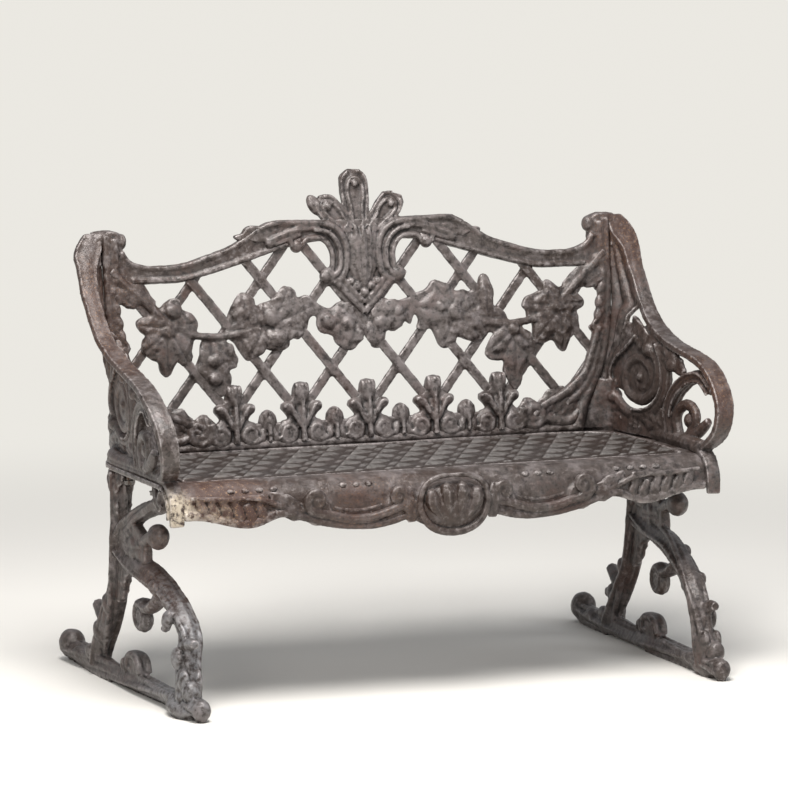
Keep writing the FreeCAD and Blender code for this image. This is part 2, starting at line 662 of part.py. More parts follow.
def arm_strip():
    """Broad strip from the top of the back, along the armrest and down to the seat.

    Each section is a flat bar: along and up as a share of the arm, out as a share of
    its flare, and wide from the armrest's width (0) to the width at the top (1)."""
    sections = [(1, 1, 0.55, 1), (0.97, 0.9, 0.57, 1), (0.879, 0.76, 0.57, 0.95), (0.8, 0.64, 0.6, 0.48)]
    sections += [(0.7, 0.54, 0.67, 0), (0.56, 0.47, 0.6, 0), (0.39, 0.43, 0.67, 0), (0.24, 0.397, 0.77, 0)]
    sections += [(0.11, 0.335, 0.77, 0), (0.03, 0.25, 0.6, 0), (0, 0.17, 0.47, 0), (0.02, 0.105, 0.3, 0)]
    sections += [(0.08, 0.05, 0.13, 0), (0.16, 0.02, 0, 0)]
    path = Part.BSplineCurve()
    path.interpolate([on_arm(along, up) for along, up, out, wide in sections])
    outlines = []
    for along, up, out, wide in sections:
        outer = on_arm(along, up)
        inward = ACROSS.cross(path.tangent(path.parameter(outer))[0]).normalize() * size("strip_thickness")
        middle = outer + ACROSS * (ARM_X + out * size("arm_flare"))
        width = size("strip_width") + wide * (size("strip_top_width") - size("strip_width"))
        half = ACROSS * (width / 2)
        corners = [middle - half, middle + half, middle + half + inward, middle - half + inward]
        outlines.append(Part.makePolygon(corners + corners[:1]))
    return Part.makeLoft(outlines, True, False)


def leaned_out(shape):
    """Stands a shape of the middle plane on an arm's base rail, splayed and leaned with the arm."""
    pivot = on_arm(0.44, 0)
    turn = Rotation(UP, size("arm_splay")).multiply(Rotation(THROUGH, size("arm_lean")))
    place = Placement(pivot + ACROSS * ARM_X, turn)
    shape.Placement = place.multiply(Placement(-pivot, Rotation())).multiply(shape.Placement)
    return shape


def arm_band(points, width):
    half = size("arm_web") / 2
    outline = strip_outline(points, width / 2, width / 2, ACROSS)
    return leaned_out(slab(outline, ACROSS, -half, half))


def arm_disc(centre, radius, extra):
    """Disc across the web, standing a little proud of it on both faces."""
    half = size("arm_web") / 2 + extra
    return leaned_out(Part.makeCylinder(radius, 2 * half, centre - ACROSS * half, ACROSS))


def arm_scrolls():
    """Large spiral in its cradle, front arch with a curl under it and two round leaves."""
    width = size("scroll_width")
    eye = size("scroll_eye_radius")
    step = size("relief_step")
    centre = on_arm(0.683, 0.275)
    spiral = []
    for count in range(-1, 13):
        angle = math.tau * count / 8
        shrink = 1 - (1 - 0.8 * eye / size("scroll_radius")) * count / 12
        across = size("scroll_radius") * math.sin(angle)
        spiral.append(centre + Vector(0, across, size("scroll_rise") * math.cos(angle)) * shrink)
    shapes = [arm_band(spiral, 0.7 * width), arm_disc(centre, eye, 2 * step)]
    cradle = [(0.96, 0.03), (0.846, 0.1), (0.682, 0.08), (0.54, 0.14)]
    cradle += [(0.48, 0.24), (0.5, 0.33), (0.58, 0.45)]
    arch = [(0.13, 0.34), (0.239, 0.334), (0.322, 0.278), (0.398, 0.213), (0.42, 0.133), (0.41, 0.03)]
    ring = [(0.846, 0.1), (0.872, 0.2), (0.892, 0.285), (0.86, 0.36), (0.795, 0.42), (0.72, 0.5)]
    for path in (cradle, ring, arch):
        shapes.append(arm_band([on_arm(along, up) for along, up in path], width))
    curl = size("arm_volute_radius")
    front_curl = on_arm(0.302, 0) + UP * (size("base_rail_height") + 0.85 * curl)
    shapes.append(arm_disc(front_curl, curl, 3 * step))
    shapes.append(arm_disc(on_arm(0.433, 0.37), eye, step))
    shapes.append(arm_disc(on_arm(0.62, 0.42), 1.25 * eye, 1.5 * step))
    return shapes


def arm_fill(points, low, high):
    outline = [on_arm(along, up) for along, up in points]
    return slab(Part.makePolygon(outline + outline[:1]), ACROSS, low, high)


def arm_fills():
    """Thin webs behind the spiral, under the armrest and on the rail, and one from strip to back."""
    spiral = [(0.681, 0.47), (0.808, 0.39), (0.891, 0.2875), (0.869, 0.22), (0.792, 0.195), (0.67, 0.17)]
    spiral += [(0.568, 0.195), (0.5, 0.24), (0.475, 0.2725), (0.489, 0.3525), (0.543, 0.425)]
    armrest = [(0.751, 0.52), (0.622, 0.475), (0.486, 0.425), (0.412, 0.4), (0.367, 0.38), (0.421, 0.33)]
    armrest += [(0.489, 0.34), (0.543, 0.4), (0.681, 0.445), (0.783, 0.425)]
    rail = [(0.394, 0.015), (0.398, 0.07), (0.466, 0.125), (0.502, 0.15), (0.602, 0.105), (0.706, 0.0875)]
    rail += [(0.81, 0.11), (0.896, 0.165), (0.964, 0.115), (0.975, 0.015)]
    half = size("arm_fill") / 2
    shapes = [leaned_out(arm_fill(points, -half, half)) for points in (spiral, armrest, rail)]
    strip = [(1, 0.97), (0.97, 0.88), (0.879, 0.745), (0.8, 0.625), (0.72, 0.535), (0.8, 0.53)]
    strip += [(0.88, 0.545), (0.965, 0.57), (0.985, 0.7), (1.005, 0.88)]
    shapes.append(arm_fill(strip, BACK_WIDTH + size("seat_margin"), ARM_X + size("arm_web") / 2))
    return shapes


def arm_base():
    """Base rail, which follows the edge of the seat round its rear corner."""
    front = THROUGH * (size("roll_radius") - size("seat_front"))
    inset = size("seat_margin")
    outer = seat_corner(inset)
    inner = seat_corner(inset + size("base_rail_width"))
    tips = [front + ACROSS * outer[0].x, front + ACROSS * inner[0].x]
    edges = [line(*tips), line(tips[0], outer[0]), line(tips[1], inner[0])]
    edges += [Part.Arc(*outer).toShape(), Part.Arc(*inner).toShape(), line(outer[-1], inner[-1])]
    outline = Part.Wire(Part.sortEdges(edges)[0])
    return slab(outline, UP, SEAT_TOP, SEAT_TOP + size("base_rail_height"))


def arm_clasp():
    """Band from the base rail over the rolled front edge of the seat and down its apron."""
    centre = Vector(0, size("roll_radius") - size("seat_front"), SEAT_TOP - size("roll_radius"))
    start = THROUGH * size("base_rail_height")
    drop = UP * size("clasp_drop")
    inner = size("roll_radius") + size("casting_gap")
    edges = []
    ends = []
    for radius in (inner, inner + size("clasp_thickness")):
        turn = [centre + UP * radius, centre + (UP - THROUGH) * (radius * math.sqrt(0.5))]
        turn.append(centre - THROUGH * radius)
        ends.append((turn[0] + start, turn[-1] - drop))
        edges += [line(ends[-1][0], turn[0]), Part.Arc(*turn).toShape(), line(turn[-1], ends[-1][1])]
    edges += [line(low, high) for low, high in zip(*ends)]
    outline = Part.Wire(Part.sortEdges(edges)[0])
    return slab(outline, ACROSS, ARM_X - CLASP_WIDTH / 2, ARM_X + CLASP_WIDTH / 2)


def ear_box(inner, outer, low, high, height):
    """Block beside or behind the back, leaned with it."""
    corner = Vector(inner, low, height - size("ear_width") / 2)
    block = Part.makeBox(outer - inner, high - low, size("ear_width"), corner)
    block.Placement = BACK_PLACE.multiply(block.Placement)
    return block


def arm_ears():
    """Ears behind the back, each with a thicker root that joins it to the arm."""
    face = size("frame_rear")
    rear = face + size("ear_thickness")
    half = size("ear_width") / 2
    beside = BACK_WIDTH + size("seat_margin")
    outer = ARM_X + size("arm_web")
    shapes = [ear_box(UPPER_EAR.x - half, outer, face, rear, UPPER_EAR.z)]
    shapes.append(ear_box(beside, outer, -size("frame_front"), rear, UPPER_EAR.z))
    rail_end = seat_corner(0)[-1].x
    shapes.append(ear_box(LOWER_EAR.x - half, rail_end + half, face, rear, LOWER_EAR.z))
    shapes.append(ear_box(rail_end, rail_end + half, face, rear + size("ear_thickness"), LOWER_EAR.z))
    return shapes


arm_shapes = arm_scrolls() + arm_fills() + [arm_base()] + arm_ears()
arm_casting = feature("arm_casting", arm_strip().multiFuse(arm_shapes))
arm_cuts = bores("arm_corner_hole", CORNER_PLACES, CORNER_GRIP) + bores("arm_ear_hole", EAR_PLACES, EAR_GRIP)
arm_body = cut("arm_body", arm_casting, [seat_room] + arm_cuts)
right_arm = fuse("right_arm", [arm_body, feature("arm_clasp", arm_clasp())])
left_arm = mirror_of("left_arm", right_arm)


# Legs

def branch(points, width, thickness):
    """Branch with bevelled edges: widest at its middle and narrower on both faces."""
    half = width / 2
    outlines = []
    for depth, share in ((-0.5, 0.55), (-0.26, 1), (0.26, 1), (0.5, 0.55)):
        outline = strip_outline(points, half * share, half * share, ACROSS)
        outline.translate(ACROSS * (depth * thickness))
        outlines.append(outline)
    return Part.makeLoft(outlines, True, True)


def leg_disc(centre, radius, thickness):
    return Part.makeCylinder(radius, thickness, centre - ACROSS * (thickness / 2), ACROSS)


def twig(root, turn):
    """Sawn-off stub, leaning from the vertical."""
    way = Vector(0, math.sin(turn), math.cos(turn))
    return Part.makeCone(size("twig_radius"), 0.7 * size("twig_radius"), size("twig_length"), root, way)


def leg_branches():
    """Rear and front branches, which part at the waist, and the bracket under the front of the seat."""
    sink = 0.5 * size("pad_thickness")
    rear = [Vector(0, BRANCH_TOPS[1], SEAT_UNDER - sink)]
    rear += [on_leg(0.151, 0.86), on_leg(0.164, 0.735), on_leg(0.189, 0.63), on_leg(0.2145, 0.53)]
    rear += [on_leg(0.265, 0.39), on_leg(0.366, 0.26), on_leg(0.473, 0.13), on_leg(0.52, 0.04)]
    front = [on_leg(0.196, 0.626), on_leg(0, 0.595), on_leg(-0.185, 0.577), on_leg(-0.354, 0.554)]
    front += [on_leg(-0.523, 0.495), on_leg(-0.66, 0.425), on_leg(-0.748, 0.343), on_leg(-0.785, 0.245)]
    front += [on_leg(-0.809, 0.13), on_leg(-0.83, 0.04)]
    bracket = [Vector(0, BRANCH_TOPS[0], SEAT_UNDER - sink)]
    bracket += [on_leg(-0.486, 0.918), on_leg(-0.345, 0.881), on_leg(-0.185, 0.84), on_leg(-0.015, 0.778)]
    bracket += [on_leg(0.126, 0.711), on_leg(0.208, 0.644)]
    width = size("leg_bar_width")
    thickness = size("leg_thickness")
    slender = size("bracket_width")
    branches = [branch(points, width, thickness) for points in (rear, front)]
    return branches + [branch(bracket, slender, slender)]


def leg_web():
    """Web at the waist, between the bracket and the front branch."""
    outline = [on_leg(-0.23, 0.58), on_leg(-0.25, 0.675), on_leg(-0.185, 0.75), on_leg(0, 0.775)]
    outline += [on_leg(0.208, 0.65), on_leg(0.196, 0.555), on_leg(-0.06, 0.55)]
    half = size("leg_web") / 2
    return slab(Part.makePolygon(outline + outline[:1]), ACROSS, -half, half)


def leg_foot():
    """Foot rail with a ball at each end and a knot at its middle."""
    width = size("foot_rail_width")
    length = size("foot_front") + size("foot_rear")
    rail = Part.makeBox(width, length, size("foot_rail_height"), Vector(-width / 2, -size("foot_front"), 0))
    edges = [edge for edge in rail.Edges if abs(edge.Length - length) < 1e-6 and edge.BoundBox.ZMin > 1]
    rail = rail.makeChamfer(0.3 * width, edges)
    balls = []
    for depth, end in ((-size("foot_front"), "front_ball_radius"), (size("foot_rear"), "rear_ball_radius")):
        balls.append(Part.makeSphere(size(end), Vector(0, depth, 0.97 * size(end))))
    middle = on_leg(-0.035, 0)
    knot = leg_disc(middle, size("hump_height"), 0.95 * width)
    corner = middle - Vector(width / 2, size("hump_half_length"), 0)
    room = Part.makeBox(width, 2 * size("hump_half_length"), size("hump_height"), corner)
    return [rail, knot.common(room)] + balls


def leg_ornaments():
    pendant = on_leg(-0.178, 0.365)
    hook = [on_leg(-0.47, 0.5), on_leg(-0.36, 0.44), pendant - THROUGH * (0.5 * size("pendant_radius"))]
    half = 0.3 * size("leg_thickness")
    link = slab(strip_outline(hook, half, half, ACROSS), ACROSS, -half, half)
    shapes = [leg_disc(pendant, size("pendant_radius"), 0.8 * size("leg_thickness")), link]
    curl = [on_leg(-0.43, 0.76), on_leg(-0.31, 0.745), on_leg(-0.15, 0.69)]
    shapes.append(branch(curl, size("bracket_width"), size("bracket_width")))
    shapes.append(Part.makeSphere(size("knob_radius"), curl[0]))
    shapes.append(twig(on_leg(0.425, 0.258), 0.85))
    shapes.append(twig(on_leg(-0.77, 0.3), -1.15))
    return shapes


def leg_pads():
    """Flat pads under the seat, long enough for a branch and the bolt beside it."""
    length = size("pad_reach") + 2 * size("pad_margin")
    low = SEAT_UNDER - size("pad_thickness")
    shapes = []
    for top, hole in zip(BRANCH_TOPS, CORNER_BOLTS):
        corner = Vector(-size("pad_width") / 2, min(top, hole) - size("pad_margin"), low)
        shapes.append(Part.makeBox(size("pad_width"), length, size("pad_thickness"), corner))
    return shapes


leg_pieces = leg_branches() + leg_foot() + leg_ornaments() + leg_pads()
leg_casting = feature("leg_casting", leg_web().multiFuse(leg_pieces))
leg_casting.Placement = Placement(ACROSS * LEG_X, Rotation(UP, -size("leg_toe_in")))
ground = bound("Part::Box", "ground", {
    "Length": "4 * sizes.seat_half_width",
    "Width": "8 * sizes.seat_front",
    "Height": "sizes.seat_height",
    "Placement.Base.x": "-2 * sizes.seat_half_width",
    "Placement.Base.y": "-4 * sizes.seat_front",
    "Placement.Base.z": "-sizes.seat_height",
})
right_leg = cut("right_leg", leg_casting, [ground] + bores("leg_hole", CORNER_PLACES, CORNER_GRIP))
left_leg = mirror_of("left_leg", right_leg)


# Fasteners

def bolt(name, place, lead, shank):
    """Hexagon-headed bolt whose head stands off its place by the lead."""
    stem = bound("Part::Cylinder", name + "_shank", {
        "Radius": "sizes.bolt_diameter / 2",
        "Height": formula(*lead, *shank),
    }, moved_along(place, -total(*lead)))
    head = bound("Part::Prism", name + "_head", {
        "Circumradius": "sizes.head_across_corners / 2",
        "Height": "sizes.head_height",
    }, moved_along(place, -total(*lead, "head_height")))
    head.Polygon = 6
    return fuse(name, [head, stem])


def drilled(name, blank, height):
    """Washer or nut: its blank with a bolt-sized hole down its middle."""
    hole = bound("Part::Cylinder", name + "_bore", {
        "Radius": "sizes.bolt_diameter / 2",
        "Height": height,
    }, blank.Placement)
    item = doc.addObject("Part::Cut", name)
    item.Base = blank
    item.Tool = hole
    return item


def washer(name, place):
    blank = bound("Part::Cylinder", name + "_blank", {
        "Radius": "sizes.washer_diameter / 2",
        "Height": "sizes.washer_thickness",
    }, place)
    return drilled(name, blank, "sizes.washer_thickness")


def nut(name, place):
    blank = bound("Part::Prism", name + "_blank", {
        "Circumradius": "sizes.nut_across_corners / 2",
        "Height": "sizes.nut_height",
    }, place)
    blank.Polygon = 6
    return drilled(name, blank, "sizes.nut_height")


def group(name, members):
    item = doc.addObject("Part::Compound", name)
    item.Links = members
    return item


def tapped_joint(name, places, grip):
    """Bolts with washers under their heads, screwed into a tapped casting."""
    bolts = []
    washers = []
    for number, place in enumerate(places):
        bolts.append(bolt(f"{name}_bolt_{number}", place, ("washer_thickness",), (*grip, "thread_depth")))
        washers.append(washer(f"{name}_washer_{number}", moved_along(place, -size("washer_thickness"))))
    return [group(f"{name}_bolts", bolts), group(f"{name}_washers", washers)]


def nutted_joint(name, places, grip):
    """Bolts held by a washer and a nut past the gripped walls."""
    bolts = []
    washers = []
    nuts = []
    for number, place in enumerate(places):
        shank = (*grip, "washer_thickness", "nut_height", "thread_standout")
        bolts.append(bolt(f"{name}_bolt_{number}", place, (), shank))
        washers.append(washer(f"{name}_washer_{number}", moved_along(place, total(*grip))))
        nuts.append(nut(f"{name}_nut_{number}", moved_along(place, total(*grip, "washer_thickness"))))
    return [group(f"{name}_bolts", bolts), group(f"{name}_washers", washers), group(f"{name}_nuts", nuts)]


subparts = [back_panel, seat_panel, left_arm, right_arm, left_leg, right_leg]
subparts += tapped_joint("corner", CORNER_PLACES, CORNER_GRIP)
subparts += nutted_joint("back_foot", TAB_PLACES, TAB_GRIP)
subparts += tapped_joint("arm_ear", EAR_PLACES, EAR_GRIP)

doc.recompute()

for item in doc.Objects:
    if "Invalid" in item.State or "Error" in item.State:
        raise RuntimeError(f"{item.Name} did not build")
os.makedirs("parts", exist_ok=True)
for item in subparts:
    item.Label = item.Name
    if item.Shape.isNull() or not item.Shape.isValid():
        raise RuntimeError(f"{item.Name} has no valid shape")
for item in subparts:
    item.Shape.exportStep(f"parts/{item.Label}.step")
    print(item.Label, len(item.Shape.Solids), "solids", round(item.Shape.Volume / 1000), "cm3")
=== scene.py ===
import math
import random

import bpy
from mathutils import Matrix, Vector


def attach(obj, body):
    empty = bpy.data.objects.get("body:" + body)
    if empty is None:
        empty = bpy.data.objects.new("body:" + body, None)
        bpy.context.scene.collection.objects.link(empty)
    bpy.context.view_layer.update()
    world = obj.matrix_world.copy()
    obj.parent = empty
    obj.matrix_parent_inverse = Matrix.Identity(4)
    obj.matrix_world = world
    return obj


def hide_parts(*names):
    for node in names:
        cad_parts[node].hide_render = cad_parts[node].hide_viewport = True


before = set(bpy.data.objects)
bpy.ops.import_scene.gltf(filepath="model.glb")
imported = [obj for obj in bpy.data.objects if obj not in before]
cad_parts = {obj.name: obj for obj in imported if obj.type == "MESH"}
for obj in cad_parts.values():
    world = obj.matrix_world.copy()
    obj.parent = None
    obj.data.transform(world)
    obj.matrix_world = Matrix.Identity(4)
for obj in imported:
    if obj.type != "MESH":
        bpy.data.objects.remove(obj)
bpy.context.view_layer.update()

# A cast iron patio bench. Lengths are written in millimetres and made metres on the way in.
MM = 0.001
dice = random.Random(1870)


# Working sheets: each ornament is drawn flat, then stood on its sheet

def sheet(origin, across, up):
    """Place of a flat drawing: its x across, its y up and its z out towards the viewer."""
    right = Vector(across).normalized()
    rise = Vector(up)
    rise = (rise - right * rise.dot(right)).normalized()
    out = right.cross(rise)
    place = Matrix((right, rise, out)).transposed().to_4x4()
    place.translation = Vector(origin) * MM
    return place


BACK_FOOT = 87
RAKE = math.radians(6.37)
RAKE_SLOPE = 0.1117
BACK = sheet((0, BACK_FOOT, 0), (1, 0, 0), (0, math.sin(RAKE), math.cos(RAKE)))
APRON_FACE = -250
APRON = sheet((0, APRON_FACE, 0), (1, 0, 0), (0, 0, 1))
ROOM = Matrix.Identity(4)
SPLAY = math.radians(7.4)
LEAN = math.radians(3)
ARM_FOOT = (512, -70, 396)
ARM = sheet(ARM_FOOT, (-math.sin(SPLAY), math.cos(SPLAY), 0), (math.sin(LEAN), 0, math.cos(LEAN)))


def on_back(x, z):
    """A point of the raked back, from its distance from the middle and its height."""
    return (x, z / math.cos(RAKE))


def on_arm(y, z):
    """A point of the splayed scrolls of an arm, from its depth and height."""
    return ((y - ARM_FOOT[1]) / math.cos(SPLAY), (z - ARM_FOOT[2]) / math.cos(LEAN))


def smooth_run(points, steps=6):
    """More points along a smooth line through the given ones."""
    spots = [Vector(point) for point in points]
    ends = [2 * spots[0] - spots[1]] + spots + [2 * spots[-1] - spots[-2]]
    run = []
    for before, start, end, after in zip(ends, ends[1:], ends[2:], ends[3:]):
        for step in range(steps):
            t = step / steps
            bend = 2 * start + (end - before) * t + (2 * before - 5 * start + 4 * end - after) * t * t
            run.append((bend + (3 * start - 3 * end + after - before) * t ** 3) / 2)
    run.append(spots[-1])
    return run


SPIRAL_STEPS = 26


def spiral(centre, radius, eye, turns, start, turn_way=1):
    """Points from the outside of a scroll in to its eye."""
    points = []
    for step in range(SPIRAL_STEPS + 1):
        share = step / SPIRAL_STEPS
        angle = start + turn_way * math.tau * turns * share
        reach = radius + (eye - radius) * share ** 0.85
        points.append((centre[0] + reach * math.cos(angle), centre[1] + reach * math.sin(angle)))
    return points


def part_way(values, share):
    """Value at a share of the way through a list."""
    place = share * (len(values) - 1)
    low = min(int(place), len(values) - 2)
    return values[low] + (values[low + 1] - values[low]) * (place - low)


# Shapes to cast from

def let_go():
    """Leaves no shape picked."""
    bpy.ops.object.select_all(action="DESELECT")


def settle(item, place):
    """Stands a new shape on its sheet and fixes that place in its mesh."""
    item.matrix_world = place
    if item.type == "CURVE":
        bpy.ops.object.convert(target="MESH")
        item = bpy.context.object
    bpy.ops.object.transform_apply(location=True, rotation=True, scale=True)
    return item


def new_curve():
    let_go()
    bpy.ops.curve.primitive_bezier_curve_add()
    item = bpy.context.object
    item.data.splines.clear()
    return item


def rod(place, points, radius, lift=0.0, flat=1.0, closed=False):
    """Round bar through the points. Flat thins it out of the sheet, and lift stands it off."""
    item = new_curve()
    item.data.bevel_depth = MM
    item.data.bevel_resolution = 2
    item.data.use_fill_caps = True
    spline = item.data.splines.new("BEZIER")
    spline.bezier_points.add(len(points) - 1)
    radii = radius if isinstance(radius, (list, tuple)) else (radius, radius)
    for number, (knot, point) in enumerate(zip(spline.bezier_points, points)):
        knot.co = Vector(point).to_3d() * MM
        knot.handle_left_type = "AUTO"
        knot.handle_right_type = "AUTO"
        knot.radius = part_way(radii, number / (len(points) - 1))
    spline.use_cyclic_u = closed
    spline.resolution_u = 4
    return settle(item, place @ Matrix.Translation((0, 0, lift * MM)) @ Matrix.Diagonal((1, 1, flat, 1)))


def plate(place, outlines, low, high, edge=2.5):
    """Flat plate with rounded edges: its first outline, less the others."""
    item = new_curve()
    item.data.dimensions = "2D"
    item.data.fill_mode = "BOTH"
    item.data.extrude = ((high - low) / 2 - edge) * MM
    item.data.bevel_depth = edge * MM
    item.data.bevel_resolution = 1
    item.data.offset = -edge * MM
    for outline in outlines:
        spline = item.data.splines.new("POLY")
        spline.points.add(len(outline) - 1)
        for knot, point in zip(spline.points, outline):
            knot.co = (point[0] * MM, point[1] * MM, 0, 1)
        spline.use_cyclic_u = True
    return settle(item, place @ Matrix.Translation((0, 0, (low + high) / 2 * MM)))


def closed_run(points, steps=4):
    """Smooth closed line through the points of a flat drawing."""
    ring = [(x, z, 0) for x, z in points[-1:] + points + points[:2]]
    run = smooth_run(ring, steps)[steps:steps * (len(points) + 1)]
    return [(spot.x, spot.y) for spot in run]


def lump(place, centre, half, turn=0.0):
    """Rounded lump, its half sizes across, up and out."""
    let_go()
    bpy.ops.mesh.primitive_ico_sphere_add(subdivisions=3, radius=1)
    spot = Matrix.Translation(Vector(centre).to_3d() * MM) @ Matrix.Rotation(turn, 4, "Z")
    return settle(bpy.context.object, place @ spot @ Matrix.Diagonal((*(Vector(half) * MM), 1)))


def bar(place, start, end, width, low, high):
    """Straight flat bar with softened edges between two points of a sheet."""
    let_go()
    bpy.ops.mesh.primitive_cube_add(size=1)
    item = bpy.context.object
    way = Vector(end) - Vector(start)
    middle = (Vector(start) + Vector(end)) / 2
    spot = Matrix.Translation(Vector((middle.x, middle.y, (low + high) / 2)) * MM)
    spot = spot @ Matrix.Rotation(math.atan2(way.y, way.x), 4, "Z")
    return settle(item, place @ spot @ Matrix.Diagonal((way.length * MM, width * MM, (high - low) * MM, 1)))


def apply(item, kind, settings):
    step = item.modifiers.new(kind.lower(), kind)
    for key, value in settings.items():
        setattr(step, key, value)
    bpy.ops.object.modifier_apply(modifier=step.name)


def thicken(item, depth, offset=-1):
    apply(item, "SOLIDIFY", {"thickness": depth * MM, "offset": offset})


def grid(columns, rows):
    """Flat grid, to be bent into shape."""
    let_go()
    bpy.ops.mesh.primitive_grid_add(x_subdivisions=columns, y_subdivisions=rows, size=1)
    return bpy.context.object


def on_all_faces(step, **settings):
    """Does one step on all faces of the shape in hand."""
    bpy.ops.object.mode_set(mode="EDIT")
    bpy.ops.mesh.select_all(action="SELECT")
    step(**settings)
    bpy.ops.object.mode_set(mode="OBJECT")


def turn_outward():
    on_all_faces(bpy.ops.mesh.normals_make_consistent, inside=False)


LEAF_THICKNESS = 6
LEAF_DROOP = 4.0
VEIN_HEIGHT = 0.9
CREASE_WIDTH = 0.16


def leaf(place, base, tip, width, lift, puff, lobes=2.5, crease=2.2):
    """Worn cast leaf from base to tip: a scalloped edge, a crease down its middle and soft veins."""
    item = grid(12, 18)
    way = Vector(tip) - Vector(base)
    for corner in item.data.vertices:
        across = 2 * corner.co.x
        along = corner.co.y + 0.5
        body = math.sin(math.pi * (0.06 + 0.9 * along) ** 0.75) ** 0.5
        edge = 1 + 0.1 * math.cos(math.tau * lobes * along + 0.6)
        dome = math.sin(math.pi * (0.1 + 0.85 * along)) ** 0.6
        crown = math.sqrt(max(0.0, 1 - 0.9 * across * across)) * dome
        vein = math.cos(math.tau * (lobes + 1) * (along + 0.22 * abs(across))) * min(1.0, 2 * abs(across))
        height = puff * crown + VEIN_HEIGHT * vein - crease * math.exp(-(across / CREASE_WIDTH) ** 2)
        rise = lift + height - LEAF_DROOP * along ** 2
        corner.co = Vector((across * width / 2 * body * edge, along * way.length, rise)) * MM
    thicken(item, LEAF_THICKNESS)
    turn = math.atan2(way.y, way.x) - math.pi / 2
    return settle(item, place @ Matrix.Translation(Vector((*base, 0)) * MM) @ Matrix.Rotation(turn, 4, "Z"))


def strip(path, widths, thickness, ridge=0.0, rims=0.0):
    """Broad strip bent along a path in a lengthwise plane, its width lying across the bench."""
    run = smooth_run(path)
    wide = smooth_run([(width, 0, 0) for width in widths])
    item = grid(12, len(run) - 1)
    for corner in item.data.vertices:
        across = 2 * corner.co.x
        row = round((corner.co.y + 0.5) * (len(run) - 1))
        way = run[min(row + 1, len(run) - 1)] - run[max(row - 1, 0)]
        out = Vector((0, way.z, -way.y)).normalized()
        swell = ridge * math.cos(across * math.pi / 2) ** 2 + rims * max(0.0, abs(across) - 0.62) / 0.38
        corner.co = (run[row] + Vector((across * wide[row].x / 2, 0, 0)) + out * swell) * MM
    turn_outward()
    thicken(item, thickness, 0)
    return item


def copy_of(name, source):
    """A copy of a shape, picked and ready to be worked on."""
    let_go()
    item = bpy.data.objects.new(name, source.data.copy())
    item.data.name = name
    bpy.context.scene.collection.objects.link(item)
    item.select_set(True)
    bpy.context.view_layer.objects.active = item
    return item


def node_copy(node):
    """A copy of a CAD node's mesh, its doubled corners merged."""
    item = copy_of(node + "_copy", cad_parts[node])
    item.data.materials.clear()
    on_all_faces(bpy.ops.mesh.remove_doubles, threshold=0.02 * MM)
    return item


def grain(name, coarse):
    """Sand-cast roughness, as a cloud texture for a displacement."""
    cloud = bpy.data.textures.new(name, "CLOUDS")
    cloud.noise_scale = coarse * MM
    cloud.noise_depth = 2
    return cloud


SAND = grain("sand_mould", 9)
PITS = grain("pitting", 26)


def join(name, items):
    let_go()
    for item in items:
        item.select_set(True)
    bpy.context.view_layer.objects.active = items[0]
    if len(items) > 1:
        bpy.ops.object.join()
    piece = bpy.context.object
    piece.name = name
    piece.data.name = name
    return piece


def roughen(piece, texture, strength):
    apply(piece, "DISPLACE", {
        "texture": texture, "texture_coords": "LOCAL", "strength": strength * MM, "mid_level": 0.5})


def cast(name, items, skin, melt, sand=1.3, pits=1.6):
    """Melts shapes into one casting: a single skin, softened, with the roughness of the sand mould."""
    piece = join(name, items)
    apply(piece, "REMESH", {"mode": "VOXEL", "voxel_size": skin * MM})
    apply(piece, "SMOOTH", {"factor": 0.5, "iterations": melt})
    roughen(piece, PITS, pits)
    roughen(piece, SAND, sand)
    bpy.ops.object.shade_smooth()
    return piece


def mirrored(name, piece):
    """The same piece for the other side of the bench."""
    other = copy_of(name, piece)
    other.scale.x = -1
    bpy.ops.object.transform_apply(location=True, rotation=True, scale=True)
    turn_outward()
    return other


# Finishes

class Tint:
    """A socket of a finish. Sums and products of tints add Math nodes."""

    def __init__(self, finish, socket):
        self.finish = finish
        self.socket = socket

    def maths(self, operation, first, second, clamp=False):
        settings = {"operation": operation, "use_clamp": clamp}
        return self.finish.node("ShaderNodeMath", settings, {0: first, 1: second})

    def __add__(self, other):
        return self.maths("ADD", self, other)

    def __sub__(self, other):
        return self.maths("SUBTRACT", self, other)

    def __rsub__(self, other):
        return self.maths("SUBTRACT", other, self)

    def __mul__(self, other):
        return self.maths("MULTIPLY", self, other)

    def clamped(self):
        return self.maths("ADD", self, 0.0, clamp=True)

    __radd__ = __add__
    __rmul__ = __mul__


